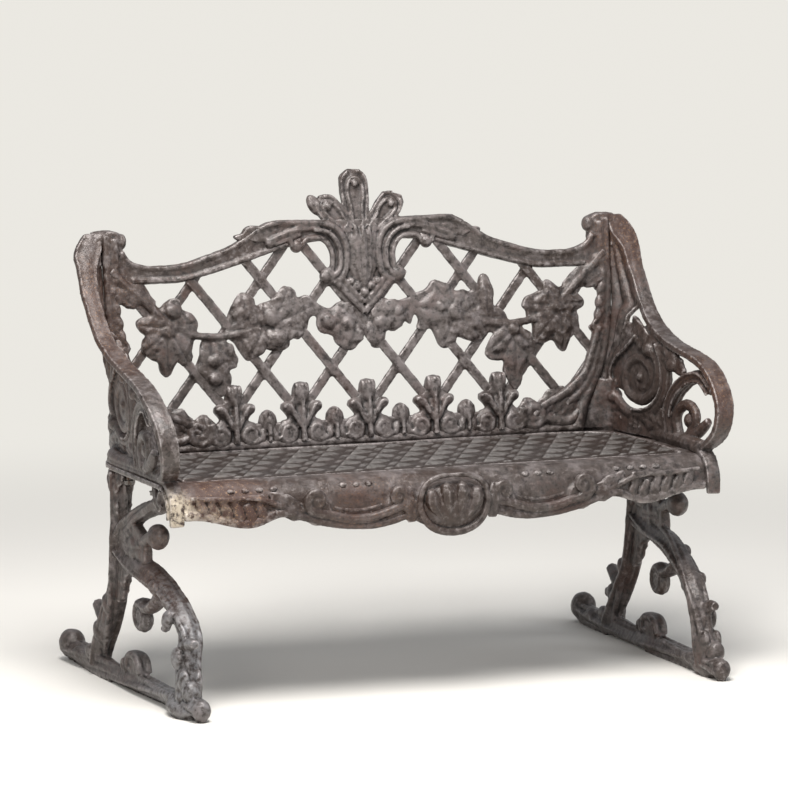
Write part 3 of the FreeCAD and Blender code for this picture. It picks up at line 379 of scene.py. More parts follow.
class Finish:
    """Procedural nodes of a material, or of another owner such as the world, with the colour so far."""

    def __init__(self, name, colour=None, owner=None):
        self.owner = owner or bpy.data.materials.new(name)
        self.owner.use_nodes = True
        self.tree = self.owner.node_tree
        self.tree.nodes.clear()
        self.colour = colour

    def node(self, kind, settings, sockets, output=0):
        made = self.tree.nodes.new(kind)
        for key, value in settings.items():
            setattr(made, key, value)
        for key, value in sockets.items():
            if isinstance(value, Tint):
                self.tree.links.new(value.socket, made.inputs[key])
            else:
                made.inputs[key].default_value = value
        return Tint(self, made.outputs[output] if made.outputs else None)

    def noise(self, scale, detail=3.0, rough=0.55):
        where = self.node("ShaderNodeTexCoord", {}, {}, "Object")
        return self.node("ShaderNodeTexNoise", {},
                         {"Vector": where, "Scale": scale, "Detail": detail, "Roughness": rough}, "Fac")

    def between(self, value, low, high):
        """0 below low, 1 above high and a soft step from one to the other."""
        return self.node("ShaderNodeMapRange", {"interpolation_type": "SMOOTHSTEP"},
                         {"Value": value, "From Min": low, "From Max": high})

    def coat(self, share, tint):
        """Lays a tint over the colour so far, as thick as its share."""
        layers = {0: share, 6: self.colour, 7: tint}
        self.colour = self.node("ShaderNodeMix", {"data_type": "RGBA"}, layers, 2)

    def near(self, spot, reach, ragged):
        """1 close to a spot of the bench, fading out raggedly at its reach."""
        where = self.node("ShaderNodeTexCoord", {}, {}, "Object")
        far = self.node("ShaderNodeVectorMath", {"operation": "DISTANCE"},
                        {0: where, 1: Vector(spot) * MM}, "Value")
        return 1 - self.between(far + ragged * (0.5 * reach * MM), 0.55 * reach * MM, 1.25 * reach * MM)

    def finished(self, roughness, bump, depth, metallic):
        surface = self.node("ShaderNodeBump", {}, {"Strength": 1.0, "Distance": depth * MM, "Height": bump})
        shader = self.node("ShaderNodeBsdfPrincipled", {}, {
            "Base Color": self.colour, "Roughness": roughness, "Metallic": metallic, "Normal": surface})
        self.node("ShaderNodeOutputMaterial", {}, {"Surface": shader})
        return self.owner


BROWN_IRON = (0.050, 0.035, 0.029, 1)
GREY_IRON = (0.077, 0.067, 0.062, 1)
LILAC_BLOOM = (0.148, 0.127, 0.124, 1)
# Pale dust; on what faces up it also stands in for painted light from above
PALE_DUST_AND_TOP_LIGHT = (0.235, 0.210, 0.205, 1)
DARK_PITS = (0.014, 0.009, 0.008, 1)
WORN_EDGE = (0.42, 0.385, 0.375, 1)
# Darker brown laid over the apron and the right arm
DEEPER_BROWN = (0.030, 0.017, 0.012, 1)
# Near-black painted shade for the hollows, with some grime
SHADE_AND_GRIME = (0.006, 0.0042, 0.0036, 1)
RUST_BROWN = (0.058, 0.024, 0.015, 1)
RED_RUST = (0.034, 0.010, 0.006, 1)
OCHRE_RUST = (0.30, 0.18, 0.10, 1)
PALE_BLUE_GREY = (0.22, 0.225, 0.235, 1)
PALE_OCHRE = (0.50, 0.43, 0.33, 1)
# Painted light on the raised straps of the weave and painted shade in the gaps between them
LIT_STRAP_GREY = (0.150, 0.146, 0.138, 1)
GAP_SHADE_BROWN = (0.020, 0.0125, 0.0095, 1)
DULL_STEEL = (0.2, 0.19, 0.18, 1)
STEEL_BROWN = (0.11, 0.065, 0.042, 1)
# Where rust has spread: middle, reach and strength
RUST_SPOTS = (((-545, 40, 640), 230, 0.6), ((545, -190, 530), 150, 0.8), ((-505, -150, 215), 110, 0.8),
              ((540, 150, 760), 110, 0.7), ((-150, -262, 320), 150, 0.35))
# Heights between which a strap of the weave goes over from the painted shade of its gap to the painted light
# on its top
STRAP_FOOT = 397.4
STRAP_TOP = 399.6


def aged_iron(name, woven=False):
    """Old paint and patina on cast iron, rusty where water stands, with painted shade in its hollows. Woven
    adds painted shade in the gaps between straps and painted light on their raised tops.
    """
    finish = Finish(name, BROWN_IRON)
    between, coat, near = finish.between, finish.coat, finish.near
    broad = finish.noise(7, 3)
    patches = finish.noise(34, 5, 0.62)
    blotches = finish.noise(95, 4, 0.65)
    specks = finish.noise(330, 3, 0.7)
    ridge = finish.node("ShaderNodeNewGeometry", {}, {}, "Pointiness")
    coat(between(broad, 0.38, 0.62), GREY_IRON)
    coat(between(patches, 0.49, 0.68) * 0.7, LILAC_BLOOM)
    coat(between(blotches, 0.53, 0.68) * 0.55, PALE_DUST_AND_TOP_LIGHT)
    coat((1 - between(blotches, 0.36, 0.49)) * 0.7, DARK_PITS)
    rust_run = between(broad + blotches * 0.55, 0.78, 0.98) * 0.6
    coat(rust_run, RUST_BROWN)
    # A paler back, a darker apron
    coat(near((0, 150, 540), 380, patches) * between(blotches, 0.3, 0.6) * 0.38, PALE_DUST_AND_TOP_LIGHT)
    for x in (-260, 0, 260):
        coat(near((x, -262, 340), 130, patches) * 0.3, DEEPER_BROWN)
    rusty = near((-420, -245, 362), 120, patches)
    for spot, reach, strength in RUST_SPOTS:
        rusty = (rusty + near(spot, reach, patches) * strength).clamped()
    coat(rusty * 0.75, RUST_BROWN)
    coat((rusty * 0.95 + rust_run * 0.6).clamped() * between(specks, 0.49, 0.60), RED_RUST)
    coat(rusty * between(specks + blotches * 0.4, 0.77, 0.84) * 0.7, OCHRE_RUST)
    # Dark right arm, pale left foot, chalk at the left end of the apron
    coat(near((520, -60, 500), 210, patches) * 0.62, DEEPER_BROWN)
    coat(near((-505, -230, 90), 230, patches) * between(blotches, 0.36, 0.6) * 0.6, PALE_BLUE_GREY)
    coat(near((-512, -252, 350), 52, patches) * between(blotches, 0.35, 0.55) * 0.9, PALE_OCHRE)
    coat(near((-446, -258, 322), 62, patches) * between(blotches, 0.34, 0.7) * 0.42, PALE_OCHRE)
    # Dust and painted light from above on what faces up, bare metal on worn edges, painted shade with some
    # grime in the hollows
    facing = finish.node("ShaderNodeTexCoord", {}, {}, "Normal")
    upward = finish.node("ShaderNodeSeparateXYZ", {}, {0: facing}, "Z")
    # Painted light from above, with some dust, on what faces up
    coat(between(upward, 0.55, 0.98) * between(patches, 0.36, 0.62) * 0.2, PALE_DUST_AND_TOP_LIGHT)
    coat(between(ridge, 0.512, 0.57) * between(blotches, 0.38, 0.58) * 0.7, WORN_EDGE)
    # Painted shade: near-black in the hollows, where shade falls, with some grime
    hollow_shade = 1 - between(ridge, 0.45, 0.4985)
    coat(hollow_shade * 0.9, SHADE_AND_GRIME)
    if woven:
        # Painted light on the high straps, painted shade down in the gaps
        where = finish.node("ShaderNodeTexCoord", {}, {}, "Object")
        height = finish.node("ShaderNodeSeparateXYZ", {}, {0: where}, "Z")
        raised = between(height + (patches - 0.5) * (3 * MM), STRAP_FOOT * MM, STRAP_TOP * MM)
        coat(raised * between(blotches, 0.3, 0.55) * 0.6, LIT_STRAP_GREY)
        coat((1 - raised) * 0.8, GAP_SHADE_BROWN)
    roughness = 0.26 + patches * 0.18 + rusty * 0.2 + hollow_shade * 0.25
    return finish.finished(roughness, blotches * 0.6 + specks * 0.4, 1.6, 0.15)


def bolt_steel():
    """Dull steel with a little brown in patches."""
    finish = Finish("fastener_steel", DULL_STEEL)
    patches = finish.noise(160, 4, 0.6)
    fine = finish.noise(900, 2)
    finish.coat(finish.between(patches, 0.45, 0.68), STEEL_BROWN)
    return finish.finished(0.34 + patches * 0.3, fine, 0.1, 0.75)


IRON = aged_iron("aged_iron")
WOVEN_IRON = aged_iron("woven_iron", True)
STEEL = bolt_steel()


def done(piece, *nodes, iron=IRON):
    """Gives a finished casting its iron and its place on the bench, and hides the CAD nodes it stands for."""
    piece.data.materials.clear()
    piece.data.materials.append(iron)
    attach(piece, "root")
    if nodes:
        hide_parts(*nodes)


# Back: frame

SIDES = (1, -1)


def lifted(points):
    return [on_back(x, z) for x, z in points]


def on_side(side, points):
    """Points of the right half of the back, or their mirror image, stood on its sheet."""
    return lifted([(side * x, z) for x, z in points])


def back_rod(side, points, radius, lift, flat=1.0):
    return rod(BACK, on_side(side, points), radius, lift, flat)


def side_plate(side, outline, low, high, edge, steps=3):
    """Plate on one half of the back, its outline smoothed."""
    return plate(BACK, [lifted(closed_run([(side * x, z) for x, z in outline], steps))], low, high, edge)


def back_leaf(side, x0, z0, x1, z1, width, lift, puff, lobes=2.5, crease=2.2):
    return leaf(BACK, on_back(side * x0, z0), on_back(side * x1, z1), width, lift, puff, lobes, crease)


def boss(x, z, lift, half, turn=0.0):
    """Rounded lump on the back."""
    return lump(BACK, (*on_back(x, z), lift), half, turn)


RAIL_TOP = [
    (60, 806), (120, 808), (175, 807), (205, 794), (250, 768), (300, 751), (350, 738), (400, 735), (425, 738),
    (450, 747), (463, 757)]
KNOB_LINE = [(466, 768), (463, 782), (468, 796), (484, 800), (496, 796)]
STILE_OUT = [(498, 770), (499, 700), (498, 619), (490, 558), (471, 498), (444, 447), (430, 397)]
WINDOW_SIDE = [(344, 444), (393, 462), (431, 500), (463, 587), (475, 649), (470, 688)]
WINDOW_TOP = [
    (447, 702), (393, 703), (349, 704), (279, 720), (240, 731), (199, 743), (150, 757), (100, 766),
    (60, 768)]


def flat_run(points):
    return [(spot.x, spot.y) for spot in smooth_run([(x, z, 0) for x, z in points])]


def closed_half(runs):
    """Closed outline from runs of the right half, going round from bottom to top."""
    right = [point for run in runs for point in flat_run(run)]
    left = [(-x, z) for x, z in reversed(right)]
    return lifted(right + left)


STILE_LEAF = [
    (492, 714), (478, 704), (484, 670), (480, 652), (474, 638), (468, 622), (464, 609), (466, 597),
    (452, 591), (458, 581), (470, 575), (484, 578), (494, 590)]
# Mouldings of the frame on its right half: line, radius, lift and flatness
FRAME_BEADS = (
    ([(464, 762), (452, 744), (425, 732), (400, 730), (350, 732), (300, 745), (250, 762), (205, 789),
      (175, 802)], 6, 6, 0.9),
    ([(462, 752), (448, 735), (420, 724), (390, 722), (350, 723), (300, 735), (250, 752), (205, 776)],
     7, 3, 0.8),
    ([(446, 710), (393, 709), (349, 710), (279, 726), (240, 737), (199, 749), (150, 763), (118, 771)],
     5.5, 6),
    ([(491, 792), (492, 700), (490, 619), (481, 560), (461, 503), (433, 452), (419, 404)],
     [8, 7, 7, 9, 11, 12], 6, 0.9),
    ([(478, 786), (478, 740), (481, 700), (482, 650), (476, 600)], [9, 8, 6, 6, 6], 6),
    ([(470, 590), (452, 540), (439, 508), (415, 484), (392, 468), (352, 449), (330, 430)],
     [8, 8, 9, 10, 10, 9, 8], 6),
    ([(478, 580), (464, 540), (447, 498), (420, 466), (396, 448)], [8, 9, 10, 10, 8], 5))
# Leaflets on the stile: place, half sizes and turn
STILE_LEAFLETS = (
    (484, 690, 9, 16, 0.2), (478, 662, 9, 15, -0.3), (474, 636, 9, 14, -0.3), (470, 612, 9, 13, -0.2),
    (474, 714, 11, 13, 0.4))
# Knob at the upper corner, rolled back over the rail: its line and how far it stands off
KNOB_ROLL = ((462, 784, -10), (482, 787, -9), (514, 785, -9))


def back_frame():
    outer = closed_half([STILE_OUT[::-1], KNOB_LINE[::-1], RAIL_TOP[::-1]])
    items = [plate(BACK, [outer, closed_half([WINDOW_SIDE, WINDOW_TOP])], -8, 7)]
    for side in SIDES:
        items += [back_rod(side, *bead) for bead in FRAME_BEADS]
        items.append(side_plate(side, STILE_LEAF, -5, 8, 4, 4))
        items.append(back_rod(side, spiral((470, 590), 13, 5, 1.1, math.pi * 0.4), [5, 4], 7))
        for x, z, wide, tall, turn in STILE_LEAFLETS:
            items.append(boss(side * x, z, 6, (wide, tall, 8), side * turn))
        items.append(rod(BACK, [(*on_back(side * x, z), lift) for x, z, lift in KNOB_ROLL], [13, 16, 16]))
        items.append(boss(side * 460, 781, -5, (10, 15, 14)))
        items.append(boss(side * 480, 770, -1, (20, 28, 11)))
    items.append(rod(BACK, lifted([(-420, 405), (0, 405), (420, 405)]), 7, 7))
    return cast("back_frame", items, 2.6, 2)


def inside(point, outline):
    """Whether a point lies inside a closed outline."""
    x, z = point
    hits = 0
    for (x0, z0), (x1, z1) in zip(outline, outline[1:] + outline[:1]):
        if (z0 > z) != (z1 > z) and x < x0 + (x1 - x0) * (z - z0) / (z1 - z0):
            hits += 1
    return hits % 2 == 1


LATTICE_PITCH = 132
LATTICE_RISE = 82
LATTICE_ROW = 538
LATTICE_BAR = 17.5


def back_lattice():
    """Two sets of slanted bars behind the frame, those that fall to the right lying in front."""
    outer = flat_run(STILE_OUT[::-1]) + flat_run(RAIL_TOP[::-1])
    outline = outer + [(-x, z) for x, z in reversed(outer)]
    # Drawn in a little, so that the ends of the bars lie within the frame
    outline = [(x * 0.985, z - 6 if z > 600 else z) for x, z in outline]
    items = []
    for way, low in ((1, -7), (-1, -2)):
        for number in range(-7, 7):
            kept = []
            for step in range(-90, 130):
                share = step / 30
                x = LATTICE_PITCH * (number + 0.5) + way * LATTICE_PITCH / 2 * share
                spot = (x, LATTICE_ROW + LATTICE_RISE * share)
                if inside(spot, outline):
                    kept.append(spot)
            if len(kept) > 3:
                items.append(bar(BACK, on_back(*kept[0]), on_back(*kept[-1]), LATTICE_BAR, low, low + 9))
    return cast("back_lattice", items, 2.6, 3, 0.7, 0.8)


# Back: vine. The two halves are alike but not twins, so each has its own outlines and leaves.

STAR_RIGHT = [
    (316, 634), (324, 650), (340, 656), (356, 664), (366, 678), (380, 676), (394, 666), (412, 676),
    (432, 694), (446, 704), (462, 710), (486, 712), (490, 690), (482, 664), (470, 656), (460, 668),
    (444, 664), (430, 656), (444, 640), (440, 628), (428, 622), (431, 602), (431, 586), (418, 574),
    (408, 566), (404, 550), (396, 546), (386, 554), (376, 568), (356, 562), (342, 566), (336, 580),
    (336, 600), (326, 612), (324, 626)]
HANGING_RIGHT = [
    (238, 550), (250, 562), (268, 572), (284, 590), (300, 598), (306, 582), (320, 578), (332, 566),
    (341, 552), (334, 540), (322, 532), (314, 512), (304, 486), (296, 480), (284, 496), (273, 516),
    (276, 534), (264, 535), (248, 538)]
BUNCH_RIGHT = [
    (282, 624), (270, 634), (258, 636), (257, 668), (252, 690), (241, 697), (232, 690), (226, 668),
    (216, 668), (200, 660), (184, 668), (170, 676), (152, 686), (138, 688), (126, 674), (108, 668), (94, 662),
    (76, 656), (56, 652), (44, 660), (30, 655), (18, 640), (6, 626), (-2, 606), (2, 590), (10, 584),
    (14, 572), (30, 570), (40, 584), (44, 600), (62, 605), (72, 610), (82, 616), (92, 610), (100, 628),
    (108, 618), (104, 602), (118, 597), (132, 600), (140, 585), (146, 570), (156, 563), (170, 566),
    (182, 582), (204, 576), (220, 572), (232, 578), (246, 587), (262, 588), (278, 598), (288, 606)]
STAR_LEFT = [
    (322, 630), (334, 648), (352, 656), (356, 672), (370, 676), (386, 668), (396, 660), (408, 678),
    (420, 700), (436, 712), (470, 712), (488, 706), (486, 680), (472, 672), (460, 664), (446, 660),
    (430, 662), (416, 654), (422, 648), (438, 640), (441, 630), (430, 615), (418, 611), (428, 606),
    (432, 590), (425, 576), (412, 566), (402, 562), (400, 548), (394, 539), (385, 535), (375, 545),
    (370, 560), (355, 558), (346, 552), (340, 566), (334, 590), (330, 604), (326, 614)]
HANGING_LEFT = [
    (250, 548), (262, 570), (280, 576), (284, 590), (296, 600), (318, 596), (322, 572), (332, 546),
    (316, 526), (304, 504), (286, 494), (268, 505), (262, 530), (266, 542)]
BUNCH_LEFT = [
    (272, 620), (262, 648), (250, 668), (238, 681), (225, 678), (219, 663), (212, 656), (196, 661),
    (178, 666), (166, 668), (160, 680), (145, 689), (132, 680), (129, 668), (110, 672), (94, 660), (84, 652),
    (66, 646), (50, 656), (35, 653), (20, 640), (4, 626), (-2, 606), (2, 590), (14, 582), (25, 568),
    (40, 570), (58, 583), (64, 600), (84, 602), (93, 615), (93, 632), (106, 630), (112, 610), (118, 598),
    (144, 597), (148, 580), (165, 572), (186, 576), (202, 580), (214, 572), (220, 560), (232, 558),
    (246, 576), (256, 592), (272, 602)]
# Each leaf: base, tip and width
LEAVES_RIGHT = [
    (392, 632, 318, 638, 44), (384, 636, 364, 680, 32), (380, 634, 444, 636, 36), (390, 624, 430, 584, 42),
    (390, 622, 397, 548, 38), (386, 624, 342, 572, 46), (488, 708, 402, 668, 38), (484, 690, 446, 664, 28),
    (292, 592, 240, 550, 38), (300, 590, 338, 550, 36), (298, 582, 297, 483, 44), (176, 634, 138, 687, 48),
    (244, 622, 242, 696, 32), (176, 628, 100, 642, 58), (178, 624, 152, 566, 52), (186, 620, 236, 580, 52),
    (200, 622, 284, 612, 42), (186, 630, 206, 668, 50), (16, 620, 92, 640, 56), (28, 628, 45, 660, 38),
    (30, 616, 78, 612, 32), (14, 616, 24, 571, 36)]
LEAVES_LEFT = [
    (374, 622, 440, 630, 42), (376, 634, 366, 675, 40), (376, 626, 323, 630, 44), (388, 616, 430, 580, 42),
    (386, 614, 386, 537, 42), (378, 616, 344, 556, 48), (488, 708, 402, 666, 38), (484, 692, 440, 662, 28),
    (292, 592, 252, 550, 40), (302, 592, 286, 496, 60), (228, 624, 238, 681, 52), (176, 632, 146, 688, 42),
    (180, 622, 98, 652, 56), (180, 612, 166, 573, 56), (202, 612, 230, 560, 46), (200, 618, 270, 612, 44),
    (190, 622, 196, 662, 50), (160, 616, 116, 604, 40), (16, 618, 92, 618, 58), (28, 628, 48, 656, 36),
    (18, 614, 34, 569, 42)]
PUFFS_RIGHT = [
    (385, 632, 16), (180, 628, 18), (150, 640, 13), (214, 606, 14), (296, 592, 12), (30, 618, 15),
    (66, 636, 13)]
PUFFS_LEFT = [
    (384, 616, 15), (372, 652, 16), (182, 634, 19), (172, 596, 19), (236, 644, 15), (296, 560, 15),
    (296, 528, 14), (34, 616, 15), (72, 622, 15)]
VINE_STEM = [(486, 730), (462, 704), (425, 672), (388, 636), (345, 612), (300, 604), (252, 606), (205, 616)]


def vine_half(side, outlines, leaves, puffs):
    items = [back_rod(side, VINE_STEM, [9, 9, 8, 8, 7, 7, 8], 6)]
    items += [side_plate(side, outline, -4, 7, 3.5) for outline in outlines]
    for line_and_width in leaves:
        lobes = dice.choice((1.5, 2.0, 2.5))
        lift = dice.uniform(4, 8)
        items.append(back_leaf(side, *line_and_width, lift, 9, lobes, 3.2))
    for x, z, radius in puffs:
        items.append(boss(side * x, z, 10, (radius, 0.8 * radius, 8), dice.uniform(-1, 1)))
    return items


# Back: fleurs along the foot

FLEUR = [
    (0, 516), (10, 514), (15, 504), (18, 487), (27, 481), (38, 477), (40, 468), (31, 458), (25, 450),
    (38, 446), (48, 437), (51, 422), (46, 408), (40, 400)]
BUD = [(0, 469), (9, 465), (16, 457), (18, 445), (13, 433), (17, 420), (19, 402)]
FLEUR_PITCH = 130.5
BUD_PITCH = 131
CORNER_LEAVES = (
    (346, 444, 400, 478, 40, 5, 8, 2), (372, 430, 428, 470, 36, 5, 8, 2), (392, 418, 440, 462, 30, 4, 7))


def even_plate(x, half):
    """Plate with two like halves about a middle line at x."""
    outline = half + [(-across, z) for across, z in reversed(half[1:])]
    return plate(BACK, [lifted([(x + across, z) for across, z in outline])], -5, 8, 4)


def back_fleurs():
    items = []
    for count in (-2, -1, 0, 1, 2):
        x = count * FLEUR_PITCH
        items += [even_plate(x, FLEUR), boss(x, 494, 7, (13, 21, 10)), boss(x, 456, 6, (10, 24, 10)),
                  rod(BACK, lifted([(x, 512), (x, 480), (x, 440), (x, 408)]), [3, 4, 5, 6], 15)]
        for side in SIDES:
            petal = [(x + side * 5, 436), (x + side * 15, 456), (x + side * 28, 474), (x + side * 37, 472)]
            eye = on_back(x + side * 29, 425)
            coil = spiral(eye, 18, 5, 1.4, math.pi * (0.5 - side * 0.62), -side)
            items += [boss(x + side * 27, 470, 7, (14, 11, 9), side * 0.4),
                      rod(BACK, lifted(petal), [4, 5, 5, 4], 13),
                      boss(x + side * 9, 500, 8, (6, 15, 8), -side * 0.1),
                      rod(BACK, coil, [7, 6.5, 5.5, 5], 9),
                      boss(x + side * 29, 425, 6, (8, 8, 9))]
    for count in (-1.5, -0.5, 0.5, 1.5):
        x = count * BUD_PITCH
        items += [even_plate(x, BUD), boss(x, 447, 7, (12, 19, 10)),
                  rod(BACK, lifted([(x, 466), (x, 440), (x, 410)]), [3, 4, 4], 15)]
        items += [boss(x + side * 12, 420, 5, (7, 18, 8), side * 0.2) for side in SIDES]
    for side in SIDES:
        coil = spiral(on_back(side * 330, 432), 26, 7, 1.5, math.pi * (0.5 + side * 0.3), side)
        items += [rod(BACK, coil, [10, 9, 8, 7], 7), boss(side * 330, 432, 3, (25, 25, 8)),
                  back_leaf(side, 322, 440, 318, 466, 34, 5, 7, 1.5),
                  boss(side * 290, 428, 4, (14, 26, 9), side * 0.2),
                  back_rod(side, [(352, 424), (378, 418), (406, 420), (424, 436)], [9, 10, 10, 8], 6)]
        items += [back_leaf(side, *row) for row in CORNER_LEAVES]
    return cast("back_fleurs", items, 2.3, 2)


# Back: crest

CREST_FOOT = 780
CREST_LEAN = RAKE + 0.12
CREST = sheet((0, BACK_FOOT + RAKE_SLOPE * CREST_FOOT, CREST_FOOT), (1, 0, 0),
              (0, math.sin(CREST_LEAN), math.cos(CREST_LEAN)))
# Forms of a lobe, as shares of its half width and its length
LOBE_EDGE = [(-0.45, 0), (-0.8, 0.3), (-1, 0.62), (-0.98, 0.86)]
LOBE_OVAL = [
    (0, 0.1), (-0.4, 0.4), (-0.56, 0.62), (-0.4, 0.78), (0, 0.84), (0.4, 0.78), (0.56, 0.62), (0.4, 0.4)]
LOBE_RIM = [(0.5, 0), (0.76, 0.3), (0.9, 0.62), (0.8, 0.84), (0.35, 0.95)]


def crest_lobe(turn, foot, length, width, tip):
    """Long lobe with a blunt tip, an oval ridge round its sunk middle and a bead at the top."""
    place = CREST @ Matrix.Translation(Vector((*foot, 0)) * MM) @ Matrix.Rotation(turn, 4, "Z")

    def sized(shares, side=1):
        return [(side * across * (width / 2), along * length) for across, along in shares]

    outline = sized(LOBE_EDGE) + tip + sized(LOBE_EDGE, -1)[::-1]
    items = [plate(place, [outline[::-1]], -7, 6, 2.5), rod(place, sized(LOBE_OVAL), 3.6, 7, 1.2, True)]
    items += [rod(place, sized(LOBE_RIM, side), 3.4, 6) for side in SIDES]
    items.append(lump(place, (0, 0.75 * length, 9), (6, 7, 6)))
    return items


ACANTHUS_RIGHT = [
    (60, 806), (120, 808), (176, 809), (188, 805), (206, 796), (203, 788), (192, 782), (188, 768), (176, 760),
    (160, 762), (140, 768), (116, 782), (90, 792), (64, 794)]
ACANTHUS_LEFT = [
    (60, 804), (98, 806), (124, 806), (150, 808), (166, 801), (190, 799), (215, 801), (227, 795), (232, 787),
    (246, 784), (244, 777), (226, 772), (200, 776), (178, 768), (160, 762), (140, 768), (116, 780), (92, 792),
    (66, 796)]
# Lines of the crest on its right half: line, radius, lift and flatness
CREST_SCROLLS = (
    ([(70, 702), (54, 708), (44, 735), (47, 762), (64, 781), (92, 788), (116, 783), (131, 768), (126, 756)],
     [15, 16, 17, 16, 14, 13, 12, 11, 9], 2, 0.6),
    ([(84, 704), (66, 712), (60, 735), (64, 756), (78, 771), (96, 774), (112, 770), (118, 760)],
     [5, 5, 5, 5, 5, 5, 4], 10),
    ([(60, 692), (40, 704), (32, 735), (34, 766), (54, 792), (90, 801), (122, 796), (140, 778), (138, 760)],
     [6, 6, 6, 6, 6, 5, 5, 5], 10),
    ([(66, 700), (50, 712), (45, 738), (50, 764), (68, 783), (94, 789)], [5, 5, 5, 4], 13))
CREST_POINT = (([(62, 704), (30, 668), (0, 637)], 7, 8), ([(46, 704), (24, 678), (0, 654)], 5, 10))
RAIL_RIDGES = (([(64, 800), (120, 802), (174, 802), (198, 794)], [5, 6, 6, 4], 9),
               ([(84, 792), (124, 790), (158, 780), (184, 770)], [4, 6, 6, 5], 10),
               ([(120, 782), (150, 772), (172, 764)], [4, 5, 4], 10))
# Berries under the crest: place and radius
BERRIES = (
    (0, 672, 9), (-14, 684, 8), (14, 684, 8), (0, 690, 8), (-8, 660, 6), (8, 660, 6), (-26, 693, 7),
    (26, 693, 7))


def back_crest():
    items = crest_lobe(0, (-5, -4), 126, 54, [(-22, 114), (-10, 123), (8, 122), (22, 112)])
    items += crest_lobe(-0.72, (16, -2), 96, 48, [(-8, 92), (8, 100), (20, 92)])
    items += crest_lobe(0.72, (-16, -2), 92, 46, [(-20, 88), (-8, 84), (4, 94), (14, 88)])
    items.append(lump(CREST, (-84, 54, 0), (13, 22, 8), 0.5))
    # Ribbed swelling
    items += [boss(0, 735, 4, (29, 46, 16)), boss(0, 762, 6, (30, 28, 14))]
    for x in (-22, -11, 0, 11, 22):
        rib = [(1.3 * x, 796), (1.1 * x, 772), (x, 745), (0.9 * x, 715), (0.55 * x, 694)]
        items.append(rod(BACK, lifted(rib), [3, 5.5, 6.5, 6, 4], 16 - 0.018 * x * x))
    for side, outline in ((1, ACANTHUS_RIGHT), (-1, ACANTHUS_LEFT)):
        items += [back_rod(side, *row) for row in CREST_SCROLLS]
        items += [boss(side * 68, 704, 6, (17, 16, 12)), boss(side * 128, 760, 6, (12, 12, 10))]
        items += [back_rod(side, *row) for row in CREST_POINT]
        items.append(side_plate(side, outline, -5, 10, 4))
        items += [back_rod(side, *row) for row in RAIL_RIDGES]
        items += [back_leaf(side, 120, 796, 204, 792, 20, 8, 5, 2),
                  back_leaf(side, 170, 780, 240, 778, 22, 6, 6, 2),
                  boss(side * 178, 768, 9, (12, 9, 7), -side * 0.3)]
    items.append(plate(BACK, [lifted([(-58, 700), (0, 640), (58, 700), (40, 712), (-40, 712)])], -4, 6, 2))
    items += [boss(x, z, 10, (radius, radius, radius)) for x, z, radius in BERRIES]
    return cast("back_crest", items, 2.1, 2, 0.7, 0.9)


# Seat: its field is woven from slanted wedges with gaps between them

WEAVE_ACROSS = 57
WEAVE_DEPTH = 58
WEAVE_SLANT = 33
WEAVE_STEP = 2.7
WEAVE_GAP_LEVEL = 0.7
# Sheet that the weave is pressed from, and the level of its edge, hidden in the seat
SHEET_WIDTH = 960
SHEET_DEPTH = 300
SHEET_MIDDLE = -42
SHEET_LEVEL = 396.5
SHEET_EDGE = -3.0
# Woven field: its front, rear and half width, and the middle and radius of its rear corners
FIELD_FRONT = -187
FIELD_REAR = 104
FIELD_HALF = 472
CORNER_X = 394
CORNER_Y = 38
CORNER_RADIUS = 76


def weave_field(x, y):
    """Whether a place on the seat lies in the woven field, inside its plain border."""
    if y < FIELD_FRONT or y > FIELD_REAR or abs(x) > FIELD_HALF:
        return False
    out = abs(x) - CORNER_X
    back = y - CORNER_Y
    return not (out > 0 and back > 0 and math.hypot(out, back) > CORNER_RADIUS)


def weave_height(x, y):
    """Height of the weave: low wedges that come up steeply, slope away and taper, with gaps between them."""
    row = math.floor(y / WEAVE_DEPTH + 0.5)
    across = abs(y / WEAVE_DEPTH - row) * 2
    place = (x - y / WEAVE_DEPTH * WEAVE_SLANT) / WEAVE_ACROSS
    column = math.floor(place)
    turn = place - column
    # No two wedges of the casting are quite alike
    uneven = math.sin(12.9 * row + 78.2 * column)
    reach = 0.66 + 0.06 * uneven
    wedge = 0.0
    if turn < reach:
        along = turn / reach
        wide = 0.84 + 0.06 * math.cos(5 * uneven) - 0.42 * along ** 2
        crown = max(0.0, min(1.0, (wide - across) / 0.3))
        wedge = min(1.0, along / 0.1) * (4.6 + 0.7 * uneven - 2.8 * along) * crown
    # A narrow strap crosses between two rows
    side = (turn - 0.85) / 0.15
    strap = 0.0
    if abs(side) < 1 and across > 0.35:
        strap = (2.7 + 0.5 * uneven) * math.sqrt((1 - side * side) * (across - 0.35) / 0.65)
    return WEAVE_GAP_LEVEL + max(wedge, strap)


def seat_weave():
    item = grid(round(SHEET_WIDTH / WEAVE_STEP), round(SHEET_DEPTH / WEAVE_STEP))
    for corner in item.data.vertices:
        x = corner.co.x * SHEET_WIDTH
        y = corner.co.y * SHEET_DEPTH + SHEET_MIDDLE
        height = weave_height(x, y - SHEET_MIDDLE) if weave_field(x, y) else SHEET_EDGE
        corner.co = Vector((x, y, SHEET_LEVEL + height)) * MM
    thicken(item, 4)
    piece = join("seat_weave", [item])
    apply(piece, "SMOOTH", {"factor": 0.5, "iterations": 1})
    roughen(piece, SAND, 0.5)
    bpy.ops.object.shade_smooth()
    return piece


SEAT_BORDER = [
    (-476, -192), (-476, 30), (-452, 88), (-398, 114), (0, 114), (398, 114), (452, 88), (476, 30),
    (476, -192)]
SEAT_BEADS = (-406, -380, -354, -328, -198, -174, -150, 150, 174, 198, 328, 354, 380, 406)
